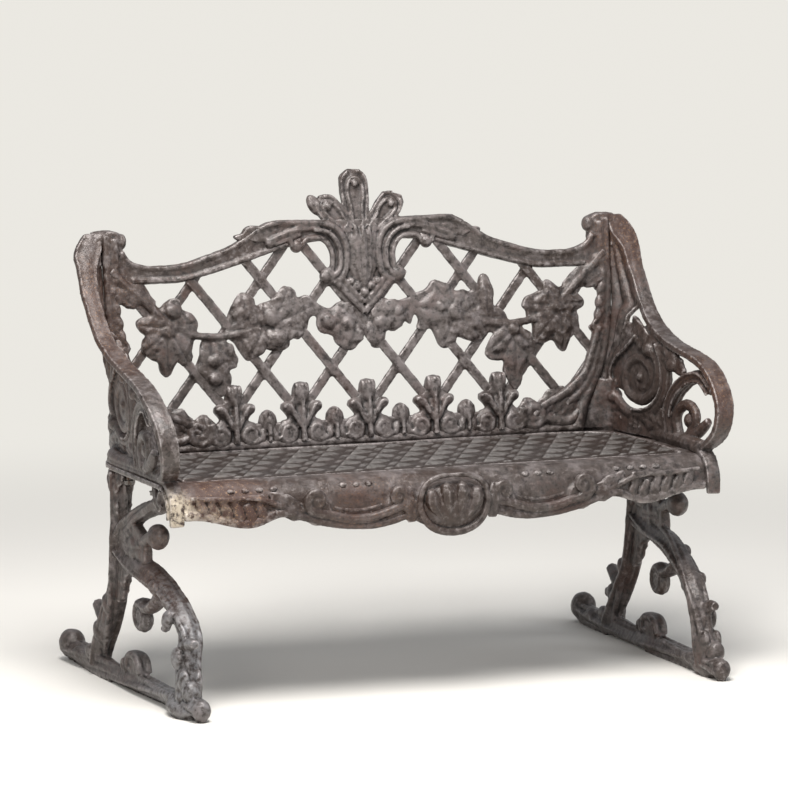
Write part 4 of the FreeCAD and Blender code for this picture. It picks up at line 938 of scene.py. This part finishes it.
# Lines of the apron on its right half: line, radius and lift
APRON_LINE = ([(128, 347), (150, 340), (176, 338), (204, 341), (226, 349)], [4, 5, 5, 5, 4], -3.5)
APRON_EDGE = ([(88, 323), (127, 313), (180, 312), (236, 320), (277, 332), (308, 341), (332, 341)], 7, 4)
WING_RIDGE = ([(286, 342), (318, 352), (350, 366), (392, 372)], [3, 5, 5, 3], 4)
SCALLOP_TOP = ([(352, 374), (400, 371), (440, 372), (486, 376)], [3, 5, 5, 3], 2)
SHELL_RIM = ([(0, 393), (32, 390), (54, 378), (64, 354), (62, 330), (48, 308), (26, 295), (0, 291)],
             [4, 5, 6, 6, 7, 7, 7, 7], 17)
SCALLOPS = ((350, 327), (371, 325), (394, 331), (416, 333), (438, 333), (460, 339))


def seat_moulding():
    """Border of the weave, beads on the rolled edge and the relief of the apron."""
    items = [rod(ROOM, [(x, y, 396) for x, y in SEAT_BORDER], 4.5),
             rod(ROOM, [(-476, -192, 393.6), (0, -192, 393.6), (476, -192, 393.6)], 3.5)]
    items += [lump(ROOM, (x, -237, 382), (8, 6, 5), 0.2) for x in SEAT_BEADS]
    for side in SIDES:
        def line(points, radius, lift, flat=1.0):
            return rod(APRON, [(side * x, z) for x, z in points], radius, lift, flat)

        def frond(x0, z0, x1, z1, width, lift, puff, lobes):
            return leaf(APRON, (side * x0, z0), (side * x1, z1), width, lift, puff, lobes)

        # Broad scroll with a volute at each end
        inner = spiral((side * 101, 358), 19, 5, 1.3, -math.pi / 2, -side)[::-1]
        outer = spiral((side * 255, 360), 21, 5, 1.3, -math.pi / 2, side)
        sweep = [(side * x, z) for x, z in ((128, 331), (160, 324), (196, 325), (228, 333))]
        items += [rod(APRON, inner + sweep + outer, [4, 6, 8, 8.5, 8.5, 8, 7, 5], 6),
                  lump(APRON, (side * 255, 360, 5), (10, 10, 9)),
                  lump(APRON, (side * 101, 358, 5), (9, 9, 9)), line(*APRON_LINE), line(*APRON_EDGE)]
        # Wing-like leaf, then the scallop at the end
        items += [frond(268, 336, 342, 352, 30, 1, 9, 2.5), frond(284, 350, 340, 376, 24, 0, 8, 2)]
        items.append(line(*WING_RIDGE))
        for x, low in SCALLOPS:
            items.append(line([(x, low), (x + 4, low + 16), (x + 12, low + 36)], [11, 11, 6], 0, 0.75))
        # Rim of the shell, and the leaf beside it
        items += [line(*SCALLOP_TOP), line(*SHELL_RIM), frond(76, 312, 82, 376, 26, 8, 10, 2)]
    # Petals of the shell, spread like a fan over a low dome
    for x, top in ((-43, 372), (-15, 381), (15, 381), (43, 372)):
        petal = [(0.4 * x, 306), (0.68 * x, 328), (0.92 * x, top - 30), (0.98 * x, top - 16), (x, top - 5),
                 (x, top)]
        items.append(rod(APRON, petal, [6, 11, 14.5, 14.5, 10, 3], 15, 1.2))
    items.append(lump(APRON, (0, 326, 6), (54, 32, 20)))
    return cast("seat_moulding", items, 2.1, 1, 0.7, 0.8)


# Arms: the right one is modelled, the left one mirrored

STRIP_PATH = [
    (514, 181, 797), (521, 174, 782), (528, 166, 762), (534, 150, 740), (536, 140, 720), (537, 130, 700),
    (537, 113, 680), (536, 97, 660), (535, 78, 640), (534, 55, 620), (531, 20, 601), (530, -4, 592),
    (529, -34, 583), (530, -84, 572), (534, -146, 561), (536, -182, 550), (535, -222, 528), (532, -252, 499),
    (529, -263, 470), (524, -256, 440), (517, -232, 418), (513, -200, 406)]
STRIP_WIDTHS = [32, 44, 50, 38, 34, 32, 31, 31, 31, 32, 33, 34, 34, 34, 35, 36, 36, 36, 35, 34, 32, 28]
# Fluted web beside the back: from the upper strip in front, and below it past a narrow slot, to the stile
WEB_FRONT = [(x - width / 2 + 7, y + 4, z - 5) for (x, y, z), width in zip(STRIP_PATH[:9], STRIP_WIDTHS)]
WEB_FRONT += [(514, 80, 624), (505, 82, 614), (503, 84, 602), (501, 88, 588), (500, 93, 572), (499, 98, 557),
              (497, 113, 540), (493, 130, 514), (489, 138, 490)]
WEB_REAR_X = [503] * 11 + [501, 499, 497, 494, 490, 481, 472]
WEB_REAR = [(x, BACK_FOOT + 5 + RAKE_SLOPE * front[2], front[2]) for x, front in zip(WEB_REAR_X, WEB_FRONT)]
# Wall on the base rail where it turns to the foot of the back
CORNER_FRONT = [(494, 108, 494), (493, 112, 460), (493, 116, 430), (493, 118, 402)]
CORNER_REAR = [(465, 140, 494), (445, 143, 460), (434, 145, 430), (428, 148, 402)]
ARM_FILLS = [
    # Behind the large scroll
    [(35, 584), (91, 552), (128, 511), (118, 484), (84, 474), (30, 464), (-15, 474), (-45, 492), (-56, 505),
     (-50, 537), (-26, 566)],
    # Under the strip
    [(68, 618), (40, 606), (9, 588), (-51, 568), (-84, 558), (-104, 550), (-80, 528), (-50, 532), (-26, 556),
     (35, 570), (84, 560), (80, 574), (64, 582)],
    # On the base rail
    [(-92, 402), (-90, 424), (-60, 446), (-44, 456), (0, 438), (46, 431), (92, 440), (124, 470), (138, 494),
     (156, 482), (168, 446), (168, 402)]]
# Scrolls of an arm, by depth and height, each with its radii
ARM_SCROLL = ([(35, 582), (7, 560), (-24, 538), (-26, 502), (4, 471), (46, 466), (76, 484), (78, 514),
               (50, 538), (14, 535), (-6, 513), (8, 491), (34, 490), (42, 506)],
              [10, 11, 11, 11, 11, 10, 9, 8, 7])
ARM_RING = ([(-26, 570), (-49, 538), (-55, 502), (-40, 468), (-4, 444), (46, 437), (92, 448), (122, 474),
             (130, 508), (112, 538), (84, 560), (50, 590)], [11, 11, 11, 10, 10, 10, 11, 11, 11, 11, 10])
RING_FOOT = ([(165, 424), (130, 434), (96, 446)], [9, 11, 9])
ARM_ARCH = ([(-208, 506), (-176, 527), (-141, 525), (-106, 507), (-80, 479), (-72, 448), (-86, 411)],
            [11, 12, 12, 12, 12, 12, 12])
ARM_CURL = ([(-104, 412), (-94, 448), (-110, 468), (-134, 472), (-155, 458), (-153, 436), (-136, 424)],
            [12, 11, 11, 11, 10, 9, 8])
CURL_FOOT = ([(-130, 414), (-160, 424), (-184, 440), (-198, 452)], [12, 12, 11, 8])
# Relief on both faces of an arm: ridges with their radius, leaves from base to tip with their form,
# and knots with their place, half sizes, lift and turn
ARM_RIDGES = (([(-200, 514), (-172, 532), (-138, 531), (-100, 513), (-72, 482), (-64, 450), (-76, 412)], 3.5),
              ([(-198, 498), (-172, 517), (-143, 516), (-112, 500), (-88, 476), (-80, 446)], 3),
              ([(-20, 574), (-42, 540), (-47, 502), (-33, 473), (-2, 452), (46, 445)], 3),
              ([(118, 478), (124, 508), (107, 534), (80, 553), (44, 583)], 3.5))
ARM_LEAVES = (
    (-34, 564, -112, 528, 38, 2, 9, 2), (56, 590, -16, 552, 44, 2, 9, 2.5), (66, 600, 96, 546, 34, 1, 8, 2),
    (20, 440, -64, 418, 34, 2, 8, 2.5), (60, 424, 20, 414, 26, 2, 6, 2), (160, 424, 84, 426, 36, 2, 8, 2.5),
    (162, 432, 134, 492, 34, 1, 9, 2))
ARM_KNOTS = ((120, 462, 15, 13, 6, 0), (-76, 540, 14, 12, 6, 0), (6, 560, 16, 13, 6, 0))
# Base rail round the corner of the seat, ears behind the back and the clasp over the end of the seat's roll
BASE_RAIL = [(512, -214), (512, -130), (512, -40), (512, 56), (503, 100), (479, 135), (443, 158), (404, 166)]
ARM_EARS = ((462, 528, 756, -8.2), (370, 414, 421, -8.2), (502, 528, 756, 8))
CLASP = [
    (512, -182, 401), (512, -204, 401), (512, -226, 396), (512, -243, 383), (512, -253, 366),
    (512, -255, 350), (512, -255, 328)]


def fluted_web(front, rear, flutes, depth):
    """Web between two lines, with rounded flutes that run along it."""
    near = smooth_run(front)
    far = smooth_run(rear)
    item = grid(24, len(near) - 1)
    for corner in item.data.vertices:
        share = corner.co.x + 0.5
        row = round((corner.co.y + 0.5) * (len(near) - 1))
        bulge = depth * math.cos(math.tau * flutes * share) * min(1.0, (far[row] - near[row]).length / 30)
        corner.co = (near[row].lerp(far[row], share) + Vector((-bulge, 0, 0))) * MM
    thicken(item, 9, 0)
    return item


def both_faces(place, spot, ridges, leaves, knots):
    """Relief on both faces of a sheet. Spot says where a depth and a height lie on it."""
    items = []
    for way, face in ((1, place), (-1, place @ Matrix.Rotation(math.pi, 4, "Y"))):
        def near(y, z):
            along, up = spot(y, z)
            return (way * along, up)

        items += [rod(face, [near(y, z) for y, z in points], radius, 9) for points, radius in ridges]
        items += [leaf(face, near(y0, z0), near(y1, z1), *form) for y0, z0, y1, z1, *form in leaves]
        for y, z, wide, tall, lift, turn in knots:
            items.append(lump(face, (*near(y, z), lift), (wide, tall, 9), way * turn))
    return items


def right_arm():
    def band(points, radius):
        return rod(ARM, [on_arm(y, z) for y, z in points], radius, 0.0, 0.85)

    items = [strip([(x, y, z - 2) for x, y, z in STRIP_PATH], STRIP_WIDTHS, 11, 2.0, 2.0)]
    for share in (-0.5, 0.5):
        edge = [(x + share * (width - 7), y, z - 3) for (x, y, z), width in zip(STRIP_PATH, STRIP_WIDTHS)]
        items.append(rod(ROOM, edge, 4.5))
    items += [fluted_web(WEB_FRONT, WEB_REAR, 2.5, 3.5), fluted_web(CORNER_FRONT, CORNER_REAR, 1.5, 3),
              rod(ROOM, [(502, 182, 783), (518, 182, 781), (534, 176, 766)], [14, 15, 12])]
    for outline in ARM_FILLS:
        items.append(plate(ARM, [[on_arm(y, z) for y, z in closed_run(outline, 3)]], -4, 4, 2))
    items += [band(*ARM_SCROLL), lump(ARM, (*on_arm(30, 507), 0), (10, 10, 10)), band(*ARM_RING),
              band(*RING_FOOT), band(*ARM_ARCH), band(*ARM_CURL), band(*CURL_FOOT),
              lump(ARM, (*on_arm(-134, 446), 0), (13, 13, 9))]
    items += both_faces(ARM, on_arm, ARM_RIDGES, ARM_LEAVES, ARM_KNOTS)
    items.append(rod(ROOM, [(x, y, 408) for x, y in BASE_RAIL], 12.5))
    items.append(rod(ROOM, [(x + 2, y, 400) for x, y in BASE_RAIL], 11))
    items += [bar(BACK, on_back(x0, z), on_back(x1, z), 35, -18, high) for x0, x1, z, high in ARM_EARS]
    items.append(strip(CLASP, [25, 26, 27, 27, 26, 26, 25], 9, 2.0))
    return cast("right_arm_casting", items, 2.2, 1)


# Legs: branches with bark, knots, twigs and curls

LEG_TURN = math.radians(1.8)
LEG = sheet((506, 0, 0), (math.sin(LEG_TURN), math.cos(LEG_TURN), 0), (0, 0, 1))
REAR_BRANCH = [
    (50, 384), (48, 340), (52, 290), (60, 248), (68, 208), (84, 152), (112, 104), (146, 54), (164, 20)]
FRONT_BRANCH = [
    (66, 244, 0), (0, 230, 0), (-60, 224, 0), (-115, 215, -3), (-170, 192, -8), (-215, 164, -11),
    (-244, 132, -11), (-255, 95, -6), (-263, 50, -3), (-270, 22, 0)]
BRACKET = [(-178, 382), (-160, 357), (-112, 342), (-60, 326), (-5, 302), (40, 276), (66, 250)]
FOOT_RAIL = [
    (-326, 20), (-290, 22), (-230, 21), (-160, 18), (-90, 18), (-20, 18), (60, 17), (140, 19), (210, 20),
    (270, 22), (312, 26)]
GROUND_FLAT = 4


def bark(points, radii, start, turns, thickness):
    """Raised vein that winds along the outside of a branch."""
    run = smooth_run([Vector(point).to_3d() for point in points], 3)
    winding = []
    for number, spot in enumerate(run):
        share = number / (len(run) - 1)
        reach = 0.97 * part_way(radii, share)
        way = run[min(number + 1, len(run) - 1)] - run[max(number - 1, 0)]
        side = Vector((-way.y, way.x, 0)).normalized()
        angle = start + math.tau * turns * share
        winding.append(spot + side * (reach * math.cos(angle)) + Vector((0, 0, reach * math.sin(angle))))
    return rod(LEG, winding, thickness)


# Forms of a leg: branches with their radii, the start and turns of the veins on them, outlines of plates,
# and the relief on both faces, set out as for an arm
BRANCHES = ((REAR_BRANCH, [20, 17, 15, 15, 17, 18, 18, 18, 20]),
            (FRONT_BRANCH, [14, 16, 18, 19, 19, 19, 19, 19, 20, 21]),
            (BRACKET, [15, 12, 11, 12, 12, 12, 12]),
            (FOOT_RAIL, [16, 18, 17, 14, 15, 16, 14, 16, 17, 18, 20]))
VEINS = ((0.3, 0.5), (1.6, -0.4), (2.9, 0.35), (4.3, 0.6), (5.4, -0.3))
WAIST = [(-75, 226), (-82, 262), (-60, 292), (0, 304), (66, 254), (64, 214), (-20, 214)]
CROTCH = [(76, 240), (20, 234), (-24, 216), (12, 200), (36, 176), (50, 148), (74, 170)]
HUMP = [(-58, 30), (-55, 50), (-42, 66), (-18, 73), (10, 66), (26, 48), (30, 28)]
LEG_RIDGES = (([(-150, 366), (-112, 350), (-60, 334), (-5, 310), (44, 284), (68, 262)], [4, 4, 4, 4, 3]),
              ([(-140, 352), (-104, 334), (-58, 317), (-8, 293), (36, 268)], [3.5, 4, 4, 3]),
              ([(-58, 38), (-50, 56), (-24, 66), (0, 58), (0, 42), (-16, 42)], [6, 7, 6, 5, 4]),
              ([(6, 34), (18, 50), (27, 36)], [6, 6, 4]))
LEG_LEAVES = (
    (10, 256, -84, 262, 40, 7, 8, 2.5), (-20, 292, 52, 262, 26, 8, 6, 2), (62, 348, 14, 386, 34, 13, 7),
    (40, 348, 84, 384, 34, 13, 7), (50, 340, 50, 300, 34, 12, 6), (30, 220, 46, 156, 36, 4, 7, 2.5),
    (-172, 346, -132, 384, 26, 11, 6))
LEG_KNOTS = (
    (-250, 100, 17, 20, 14, 0.3), (-278, 62, 15, 22, 12, 0.2), (-268, 34, 18, 15, 14, 0),
    (-204, 160, 14, 22, 13, 0.75), (92, 140, 15, 20, 12, -0.5), (136, 84, 15, 20, 13, -0.6),
    (176, 40, 22, 15, 12, 0), (-140, 206, 16, 12, 13, 0.3), (-220, 24, 20, 12, 12, 0),
    (240, 26, 22, 12, 12, 0))
FOOT_LUMPS = (((-328, 20, 0), (15, 19, 17)), ((-292, 46, 4), (17, 20, 17)), ((-264, 52, -2), (26, 40, 24)),
              ((-262, 14, 6), (52, 17, 28), 0.05), ((306, 32, 0), (29, 27, 24)))
TWIGS = (([(280, 14), (322, 12), (340, 9)], [11, 9, 4]),
         ([(-246, 116), (-280, 128), (-300, 130)], [12, 11, 8]),
         ([(120, 96), (150, 116), (172, 128)], [15, 14, 11]),
         ([(150, 70), (172, 84), (180, 74)], [9, 8, 5], -5),
         ([(-190, 160), (-176, 140), (-160, 136)], [9, 8, 5], 4))


def right_leg():
    items = []
    for points, radii in BRANCHES:
        items.append(rod(LEG, points, radii))
        items += [bark(points, radii, start, turns, [3.5, 5.5, 4.5, 6, 4]) for start, turns in VEINS]
    pendant = [(-150, 196), (-118, 172)] + spiral((-58, 140), 27, 8, 1.5, math.pi * 0.75, -1)
    items += [plate(LEG, [closed_run(WAIST)], -9, 9, 4), plate(LEG, [closed_run(CROTCH)], -8, 8, 4),
              rod(LEG, [(-50, 268), (-96, 286), (-128, 294), (-148, 300)], [10, 13, 14, 10]),
              lump(LEG, (-130, 293, 0), (27, 23, 19), -0.2), rod(LEG, pendant, [11, 10, 9, 9, 8, 7], 0, 1.5),
              lump(LEG, (-58, 138, 0), (26, 26, 11)), plate(LEG, [closed_run(HUMP)], -10, 10, 5)]
    items += both_faces(LEG, lambda y, z: (y, z), LEG_RIDGES, LEG_LEAVES, LEG_KNOTS)
    items += [lump(LEG, *form) for form in FOOT_LUMPS]
    items += [rod(LEG, *twig) for twig in TWIGS]
    piece = cast("right_leg_casting", items, 2.2, 1, 1.0, 2.0)
    # The foot rail is ground flat where it stands
    for corner in piece.data.vertices:
        if corner.co.z < GROUND_FLAT * MM:
            corner.co.z = 0
    return piece


# Putting the bench together

done(back_frame(), "back_panel")
done(back_lattice(), "back_panel")
right_half = vine_half(1, (STAR_RIGHT, HANGING_RIGHT, BUNCH_RIGHT), LEAVES_RIGHT, PUFFS_RIGHT)
done(cast("back_vine_right", right_half, 2.3, 2, 0.9, 1.4), "back_panel")
left_half = vine_half(-1, (STAR_LEFT, HANGING_LEFT, BUNCH_LEFT), LEAVES_LEFT, PUFFS_LEFT)
done(cast("back_vine_left", left_half, 2.3, 2, 0.9, 1.4), "back_panel")
done(back_fleurs(), "back_panel")
done(back_crest(), "back_panel")
done(cast("seat_plate", [node_copy("seat_panel")], 4, 1, 0.5, 0.6), "seat_panel")
done(seat_weave(), "seat_panel", iron=WOVEN_IRON)
done(seat_moulding(), "seat_panel")
arm = right_arm()
done(mirrored("left_arm_casting", arm), "left_arm")
done(arm, "right_arm")
leg = right_leg()
done(mirrored("left_leg_casting", leg), "left_leg")
done(leg, "right_leg")
for node in ("corner_bolts", "corner_washers", "back_foot_bolts", "back_foot_washers", "back_foot_nuts",
             "arm_ear_bolts", "arm_ear_washers"):
    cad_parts[node].data.materials.clear()
    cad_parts[node].data.materials.append(STEEL)


# Studio

def pale_floor():
    """Plain floor that takes the bench's shadow and goes over into an even pale backdrop farther out."""
    finish = Finish("pale_floor")
    where = finish.node("ShaderNodeTexCoord", {}, {}, "Object")
    far = finish.node("ShaderNodeVectorMath", {"operation": "LENGTH"}, {0: where}, "Value")
    rays = [finish.node("ShaderNodeLightPath", {}, {}, ray)
            for ray in ("Is Camera Ray", "Is Glossy Ray", "Is Transmission Ray")]
    shown = (rays[0] + rays[1] + rays[2]).clamped()
    floor_paint = finish.node("ShaderNodeBsdfPrincipled", {}, {
        "Base Color": (0.74, 0.72, 0.68, 1), "Roughness": 0.8, "Specular IOR Level": 0.2})
    backdrop = finish.node("ShaderNodeEmission", {}, {"Color": (0.83, 0.81, 0.76, 1), "Strength": 1.0})
    share = finish.between(far, 1.0, 3.2) * shown
    surface = finish.node("ShaderNodeMixShader", {}, {0: share, 1: floor_paint, 2: backdrop})
    finish.node("ShaderNodeOutputMaterial", {}, {"Surface": surface})
    return finish.owner


bpy.ops.object.select_all(action="DESELECT")
bpy.ops.mesh.primitive_circle_add(vertices=96, radius=40, fill_type="NGON")
floor = bpy.context.object
floor.name = "studio_floor"
floor.data.materials.append(pale_floor())

sky = Finish("studio", owner=bpy.data.worlds.new("studio"))
bpy.context.scene.world = sky.owner
camera_ray = sky.node("ShaderNodeLightPath", {}, {}, "Is Camera Ray")
through_ray = sky.node("ShaderNodeLightPath", {}, {}, "Is Transmission Ray")
shown = sky.node("ShaderNodeMath", {"operation": "MAXIMUM"}, {0: camera_ray, 1: through_ray})
lit = sky.node("ShaderNodeBackground", {}, {"Color": (0.95, 0.97, 1.0, 1), "Strength": 0.42})
seen = sky.node("ShaderNodeBackground", {}, {"Color": (0.86, 0.84, 0.79, 1)})
chosen = sky.node("ShaderNodeMixShader", {}, {0: shown, 1: lit, 2: seen})
sky.node("ShaderNodeOutputWorld", {}, {"Surface": chosen})


def soft_lamp(name, spot, target, power, width, tint):
    bpy.ops.object.light_add(type="AREA", location=spot)
    lamp = bpy.context.object
    lamp.name = name
    lamp.data.energy = power
    lamp.data.size = width
    lamp.data.color = tint
    lamp.rotation_euler = (Vector(target) - Vector(spot)).to_track_quat("-Z", "Y").to_euler()


soft_lamp("overhead", (-0.6, -1.2, 3.2), (0, 0, 0.4), 160, 1.6, (1.0, 0.98, 0.96))
soft_lamp("front_left", (-3.2, -3.6, 2.2), (0, 0, 0.5), 68, 1.6, (1.0, 0.97, 0.94))
soft_lamp("right_fill", (3.4, -2.2, 1.8), (0, 0, 0.5), 32, 1.8, (0.95, 0.97, 1.0))

bpy.ops.object.camera_add(location=(-3.1848, -7.6985, 1.5832))
camera = bpy.context.object
camera.data.lens = 212.87
camera.data.sensor_width = 36
camera.data.clip_end = 200
camera.rotation_euler = Vector((0.3787, 0.9165, -0.1285)).to_track_quat("-Z", "Y").to_euler()
bpy.context.scene.camera = camera
bpy.context.scene.view_settings.view_transform = "Standard"
